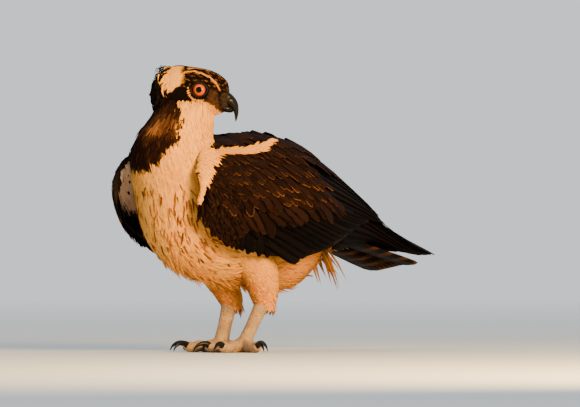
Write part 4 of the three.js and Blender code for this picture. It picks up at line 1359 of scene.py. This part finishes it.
def lower_edge(name, mirrored, seed):
    """Dark feathers whose tips make the lower edge of the wing beside the belly."""
    rng = np.random.default_rng(seed)
    n = 26
    y = np.linspace(-112, -52, n)
    laid = lay(wing_ground, y, np.full(n, 0.80), 58 + rng.normal(0, 3, n), rng.uniform(28, 34, n), 10.0,
               (-2.6, -0.4 + 0.4 * rng.random(n)), section=VANE, outline=ROUNDED, thick=0.3, cells=True)
    tint = shades(DARK, n, 0.3, seed)
    plume(name + "_edge", laid, tint, tint, FLIGHT_FEATHERS, "dark_feathers", mirrored=mirrored)


def shoulder_stripe(name, mirrored, seed):
    """Loose white feathers over the wing's upper edge behind the neck, in a strip narrow at both ends."""
    rng = np.random.default_rng(seed)
    n = 430
    s = rng.random(n)
    y = -116 + 144 * s
    middle = np.interp(s, [0, 0.35, 0.68, 0.85, 1], [0.135, 0.157, 0.160, 0.112, 0.070])
    half = np.interp(s, [0, 0.35, 0.68, 0.85, 1], [0.010, 0.021, 0.024, 0.010, 0.002])
    heading = np.interp(s, [0, 0.5, 0.68, 1], [4, 3, -9, -14])
    laid = lay(wing_ground, y, middle + half * rng.uniform(-1, 1, n), heading + rng.normal(3, 8, n),
               rng.uniform(14, 24, n) * (1 - 0.3 * s), rng.uniform(1.8, 3.2, n),
               (0.6, 1.4 + 2.0 * rng.random(n)), thick=0.3, reach=WING_REACH)
    soft_plume(name + "_stripe", laid, shades(PALE, n, 0.25, seed), mirrored=mirrored)


for wing_name, wing_mirrored, wing_seed in (("wing_left", False, 21), ("wing_right", True, 43)):
    wing_core(wing_name + "_core", wing_mirrored)
    wing_feathers(wing_name, wing_mirrored, wing_seed)
    shoulder_tufts(wing_name, wing_mirrored, wing_seed + 1)
    inner_tufts(wing_name, wing_mirrored, wing_seed + 3)
    shoulder_stripe(wing_name, wing_mirrored, wing_seed + 2)
lower_edge("wing_right", True, 71)
lower_edge("wing_left", False, 73)
front_fringe()


# Tail


def tail():
    """Twelve barred tail feathers that lie in steps under the middle pair, with coverts above and below."""
    off = np.arange(TAIL_FEATHERS) - (TAIL_FEATHERS - 1) / 2
    under = np.abs(off) - 0.5 + np.where(off < 0, 0.5, 0)
    aim = np.degrees(np.arctan2(off * (TAIL_SPREAD - TAIL_STEP), TAIL_LENGTH))
    laid = lay(tail_ground, 0 * off, off * TAIL_STEP, aim, TAIL_LENGTH - 2 * np.abs(off), 28.0,
               (-1.25 * under, -1.25 * under), section=VANE, outline=BLUNT, thick=0.34, cells=True,
               tilt=-np.sign(off) * 1.1)
    tint = shades(DARK * 1.3, TAIL_FEATHERS, 0.2, 31)
    edge = np.tile(BUFF * 0.1, (TAIL_FEATHERS, 1))
    plume("tail_vanes", laid, tint, edge, TAIL_VANES, "dark_feathers", "tail")
    rng = np.random.default_rng(33)
    n = 60
    aside = rng.uniform(-19, 19, n)
    upper = lay(tail_ground, rng.uniform(4, 40, n), aside, aside * 0.6, rng.uniform(34, 50, n), 15.0,
                (0.5, 2.6 + rng.random(n)), outline=ROUNDED, thick=0.3, reach=TAIL_REACH)
    tint = shades(BROWN, n, 0.25, 34)
    plume("tail_coverts_above", upper, tint, mix(tint, BUFF, 0.3), EDGED_FEATHERS, "dark_feathers")
    n = 240
    aside = rng.uniform(-24, 14, n)
    below = lay(under_tail, rng.uniform(2, 36, n), aside, aside * 0.4 + rng.normal(0, 5, n),
                rng.uniform(24, 38, n), rng.uniform(4, 8, n), (-3.0, 0.2 + 1.4 * rng.random(n)), thick=0.3,
                droop=rng.uniform(-3, 3, n), reach=TAIL_REACH)
    soft_plume("tail_coverts_below", below, shades(mix(CREAM_WITH_PAINTED_SUN, RUST, 0.4), n, 0.2, 35))


tail()


# Bill, eyes and lids


def bill_part(rows, cuts, columns):
    """One half of the bill: ovals between the culmen and the cutting edge, in the head's frame."""
    place = np.linspace(0, len(rows) - 1, cuts)
    top_f, top_up, low_f, low_up, half = spline(rows, place)
    middle = np.stack([(top_f + low_f) / 2, 0 * half, (top_up + low_up) / 2], -1)
    rise = np.stack([(top_f - low_f) / 2, 0 * half, (top_up - low_up) / 2], -1)
    turn = circle(columns)[None, :, None]
    side = np.stack([0 * half, np.maximum(half, 0.15), 0 * half], -1)
    # The section is a little squared under the ridge, like the real horn
    round_up = np.sign(np.cos(turn)) * np.abs(np.cos(turn)) ** 0.9
    return middle[:, None] + rise[:, None] * round_up + side[:, None] * np.sin(turn)


def nostril(p, wide, tall):
    """1 at the middle of the nostril, fading out over a width and a height."""
    reach = np.hypot((p[..., 0] - NOSTRIL_FORWARD) / wide, (p[..., 2] - NOSTRIL_UP) / tall)
    return np.exp(-(reach**2))


def make_bill():
    """The black bill with a greyer cere and a slit nostril on each side."""
    for name, rows, cuts in (("bill_upper", UPPER_BILL, 60), ("bill_lower", LOWER_BILL, 30)):
        rings = bill_part(rows, cuts, 40)
        if name == "bill_upper":
            dent = 1.5 * nostril(rings, 2.6, 1.1)
            rings[..., 1] -= np.sign(rings[..., 1]) * dent * (np.abs(rings[..., 1]) > 3)
        points, quads, tris = closed_tube(rings)
        quads, tris = outward(points, quads, tris)
        cere = step(50.5, 47.5, points[:, 0] - 0.12 * points[:, 2])
        cere = cere * (1 - nostril(points, 2.2, 0.8)) * (name == "bill_upper")
        horn = put_mesh(name + "_horn", head_to_bird(points), quads, tris, numbers=(("cere", cere),))
        dress(horn, HORN, "horn", name)


def make_eye(name, side):
    """An eyeball as rings round its outward axis: a sphere with a slightly fuller cornea over the iris."""
    polar = np.radians(np.linspace(0.4, 179.6, 72))[:, None]
    turn = circle(64)[None]
    radius = EYE_RADIUS + CORNEA_RISE * np.exp(-((polar / 0.55) ** 4))
    around = radius * np.sin(polar)
    out = side * radius * np.cos(polar) + 0 * turn
    rings = np.stack([around * np.cos(turn), out, around * np.sin(turn)], -1)
    points, quads, tris = closed_tube(rings)
    quads, tris = outward(points, quads, tris)
    ring = np.hypot(points[:, 0], points[:, 2])
    ring = np.where(points[:, 1] * side > 0, ring, EYE_RADIUS)
    angle = np.arctan2(points[:, 2], points[:, 0])
    points = points + [EYE_FORWARD, side * EYE_ASIDE, EYE_UP]
    numbers = (("ring", ring), ("turn", angle))
    dress(put_mesh(name + "_ball", head_to_bird(points), quads, tris, numbers=numbers), EYE, "eye", name)


def make_lid(name, side):
    """The lid ring: a tube round the opening, a little flatter and thicker above, folded at both corners."""
    rows, columns = 72, 16
    turn, tube = circle(rows)[:, None], circle(columns)[None]
    above = np.maximum(0, np.sin(turn))
    wide = OPENING + 0.9 + 0.9 * np.abs(np.cos(turn)) ** 6
    tall = OPENING + 0.7 - 0.5 * above
    thick = LID_THICK + LID_BROW * above
    sphere = np.sqrt(EYE_RADIUS**2 - OPENING**2)
    f = (wide + thick * np.cos(tube)) * np.cos(turn)
    up = (tall + thick * np.cos(tube)) * np.sin(turn)
    out = sphere + 0.2 + 0.5 * above + thick * 0.9 * np.sin(tube)
    points = np.stack([f + EYE_FORWARD, side * (out + EYE_ASIDE), up + EYE_UP], -1).reshape(-1, 3)
    i, j = np.meshgrid(np.arange(rows), np.arange(columns), indexing="ij")
    here, following, k = i * columns, (i + 1) % rows * columns, (j + 1) % columns
    quads = np.stack([here + j, following + j, following + k, here + k], -1).reshape(-1, 4)
    quads, _ = outward(points, quads, NO_TRIS)
    dress(put_mesh(name, head_to_bird(points), quads, NO_TRIS), LIDS, "scaly_skin")


make_bill()
for eye_name, eye_side in (("left", 1), ("right", -1)):
    make_eye("eye_" + eye_name, eye_side)
    make_lid("lid_" + eye_name, eye_side)


# Legs and claws


def toe_way(side, turn, angle):
    """The level direction a toe points in."""
    heading = math.radians(-90 + side * angle + turn)
    return np.array([math.cos(heading), math.sin(heading), 0.0])


def rod(path, radii, columns):
    """A round rod carried along a path: rings across it, each with its own radius."""
    along = unit(np.gradient(path, axis=0))
    across = unit(np.stack([-along[:, 1], along[:, 0], 0 * along[:, 0]], -1))
    up = np.cross(along, across)
    turn = circle(columns)[None, :, None]
    radii = np.asarray(radii)[:, None, None]
    return path[:, None] + radii * (across[:, None] * np.cos(turn) + up[:, None] * np.sin(turn))


def toe_rod(foot, side, turn, angle, long):
    """A toe with full pads, finely ringed: its heights and radii come from their table."""
    s = np.linspace(0, 1, 30)
    up, radius = spline(TOE_PADS, s)
    radius = radius + 0.25 * np.cos(s * long * 2 * math.pi / 4.2)
    path = np.array([*foot, 0.0]) + s[:, None] * long * toe_way(side, turn, angle)
    path[:, 2] = up
    return closed_tube(rod(path, radius, 24))


def make_leg(name, side, foot, turn, lean):
    """Shank, toes and pads melted into one bare leg, flat under the toes."""
    s = np.linspace(0, 1, 40)[:, None]
    a, b = spline(SHANK, s[:, 0])
    around = circle(40)[None]
    ankle_x, ankle_y = side * THIGH[-1][1], THIGH[-1][2] + lean
    x = ankle_x + (foot[0] - ankle_x) * s + a[:, None] * np.sin(around)
    y = ankle_y + (foot[1] + 2 - ankle_y) * s + b[:, None] * np.cos(around)
    z = ANKLE_Z + 4 + (FOOT_TOP_Z - 8 - ANKLE_Z) * s + 0 * around
    parts = [closed_tube(np.stack([x, y, z], -1))]
    parts += [toe_rod(foot, side, turn, angle, long) for _, angle, long, _ in TOES]
    # The ball of the foot, an oval that the toes start from
    polar = np.linspace(0.05, math.pi - 0.05, 24)[:, None]
    parts.append(closed_tube(np.stack([
        foot[0] + BALL_SIZE[0] * np.sin(polar) * np.cos(around),
        foot[1] + BALL_SIZE[1] * np.sin(polar) * np.sin(around),
        BALL_Z + BALL_SIZE[2] * np.cos(polar) + 0 * around,
    ], -1)))
    points, quads = melted("leg_raw", parts, 0.75, 5)
    points[:, 2] = np.maximum(points[:, 2], 0.05)
    leg = put_mesh("leg_" + name, points, quads, NO_TRIS)
    dress(leg, SCALES, "scaly_skin", "tarsus_" + name, "foot_" + name)


def make_claws(name, side, foot, turn):
    """Long black claws that curve down to points just over the floor."""
    parts = []
    slope = np.radians(np.linspace(CLAW_RISE, CLAW_FALL, 40))
    for _, angle, long, reach in TOES:
        ahead = np.concatenate([[0], np.cumsum(np.cos(slope))]) * reach / 40
        rise = np.concatenate([[0], np.cumsum(np.sin(slope))]) * reach / 40
        path = np.array([*foot, CLAW_Z]) + toe_way(side, turn, angle) * (long - 3 + ahead[:, None])
        path[:, 2] = CLAW_Z + rise
        radii = CLAW_THICK + (CLAW_POINT - CLAW_THICK) * np.linspace(0, 1, 41) ** 1.15
        parts.append(closed_tube(rod(path, radii, 20)))
    points, quads, tris = join(parts)
    points[:, 2] = np.maximum(points[:, 2], 0.2)
    claws = put_mesh("claws_" + name, points, quads, tris, numbers=(("cere", np.zeros(len(points))),))
    dress(claws, HORN, "horn", *["claw_" + name + "_" + toe[0] for toe in TOES])


for leg in LEGS:
    make_leg(*leg)
    make_claws(*leg[:4])


# Floor, light and camera


# Metres from the middle at which the floor starts to fade and is gone, and the sky's colour
FADE = 0.9, 6.5
SKY = (0.86, 0.91, 0.93, 1)


def studio():
    """A round pale floor that fades out between two distances in metres, under a plain sky."""
    turn = circle(96)
    radii = np.array([0.001, 0.4, 1.0, 2.0, 4.0, 7.0])[:, None]
    rings = np.stack([radii * np.cos(turn), radii * np.sin(turn), 0 * radii * turn], -1) * 1000
    floor = put_mesh("floor", rings.reshape(-1, 3) - SHIFT, grid_faces(len(radii), len(turn)), NO_TRIS)
    material, start, shader = new_material("pale_floor", Roughness=0.8, Base_Color=(0.56, 0.585, 0.60, 1))
    place = start.wire("ShaderNodeTexCoord", output=3)
    far = start.wire("ShaderNodeVectorMath", {"operation": "LENGTH"}, output=1, _0=place)
    clear = start.wire("ShaderNodeBsdfTransparent")
    solid = Wire(start.tree, shader.outputs[0])
    faded = start.wire("ShaderNodeMixShader", _0=far.ramp(*FADE), _1=solid, _2=clear)
    start.tree.links.new(faded.socket, start.tree.nodes["Material Output"].inputs[0])
    floor.data.materials.append(material)
    world = bpy.data.worlds.new("studio")
    world.use_nodes = True
    world.node_tree.nodes["Background"].inputs["Color"].default_value = SKY
    bpy.context.scene.world = world


def area_light(name, at, aim, size, power, colour):
    """A square lamp at a place that faces another, both in the bird's frame."""
    lamp = bpy.data.lights.new(name, "AREA")
    lamp.shape, lamp.size, lamp.energy, lamp.color = "SQUARE", size, power, colour
    thing = bpy.data.objects.new(name, lamp)
    thing.location = (np.array(at) + SHIFT) / 1000
    way = Vector(np.array(aim, float) - np.array(at, float))
    thing.rotation_euler = way.to_track_quat("-Z", "Y").to_euler()
    bpy.context.scene.collection.objects.link(thing)


# Photograph's view: the bird's azimuth, its scale and the place of the frame's middle
AZIMUTH = math.radians(42.0)
MM_PER_PIXEL, FRAME_WIDE, MIDDLE_ASIDE, MIDDLE_UP = 1.15, 580, 57.5, 170.8
DISTANCE, SENSOR = 12000.0, 36.0
RIGHT = np.array([math.cos(AZIMUTH), math.sin(AZIMUTH), 0.0])
TO_CAMERA = np.array([math.sin(AZIMUTH), -math.cos(AZIMUTH), 0.0])


def camera():
    """A long lens at the photograph's angle, level, at the height of the frame's middle."""
    lens = bpy.data.cameras.new("camera")
    lens.sensor_width = SENSOR
    lens.lens = SENSOR * DISTANCE / (MM_PER_PIXEL * FRAME_WIDE)
    lens.clip_end = 30
    thing = bpy.data.objects.new("camera", lens)
    middle = RIGHT * MIDDLE_ASIDE + np.array([0, 0, MIDDLE_UP])
    thing.location = (middle + TO_CAMERA * DISTANCE + SHIFT) / 1000
    thing.rotation_euler = (math.pi / 2, 0, AZIMUTH)
    bpy.context.scene.collection.objects.link(thing)
    bpy.context.scene.camera = thing


# Lamps: name, shares of its way towards the camera, right and up, distance, width in metres, watts, colour
LAMPS = [
    ("key", 0.95, 0.5, 0.28, 2300, 0.7, 195, (1.0, 0.60, 0.17)),
    ("glint", 1.0, 0.25, 0.3, 2600, 0.25, 9, (1.0, 0.95, 0.88)),
]
HEART = np.array([0.0, -20.0, 160.0])

studio()
for lamp_name, near, right, up, distance, size, power, colour in LAMPS:
    lamp_way = unit(near * TO_CAMERA + right * RIGHT + np.array([0, 0, up]))
    area_light(lamp_name, HEART + lamp_way * distance, HEART, size, power, colour)
camera()
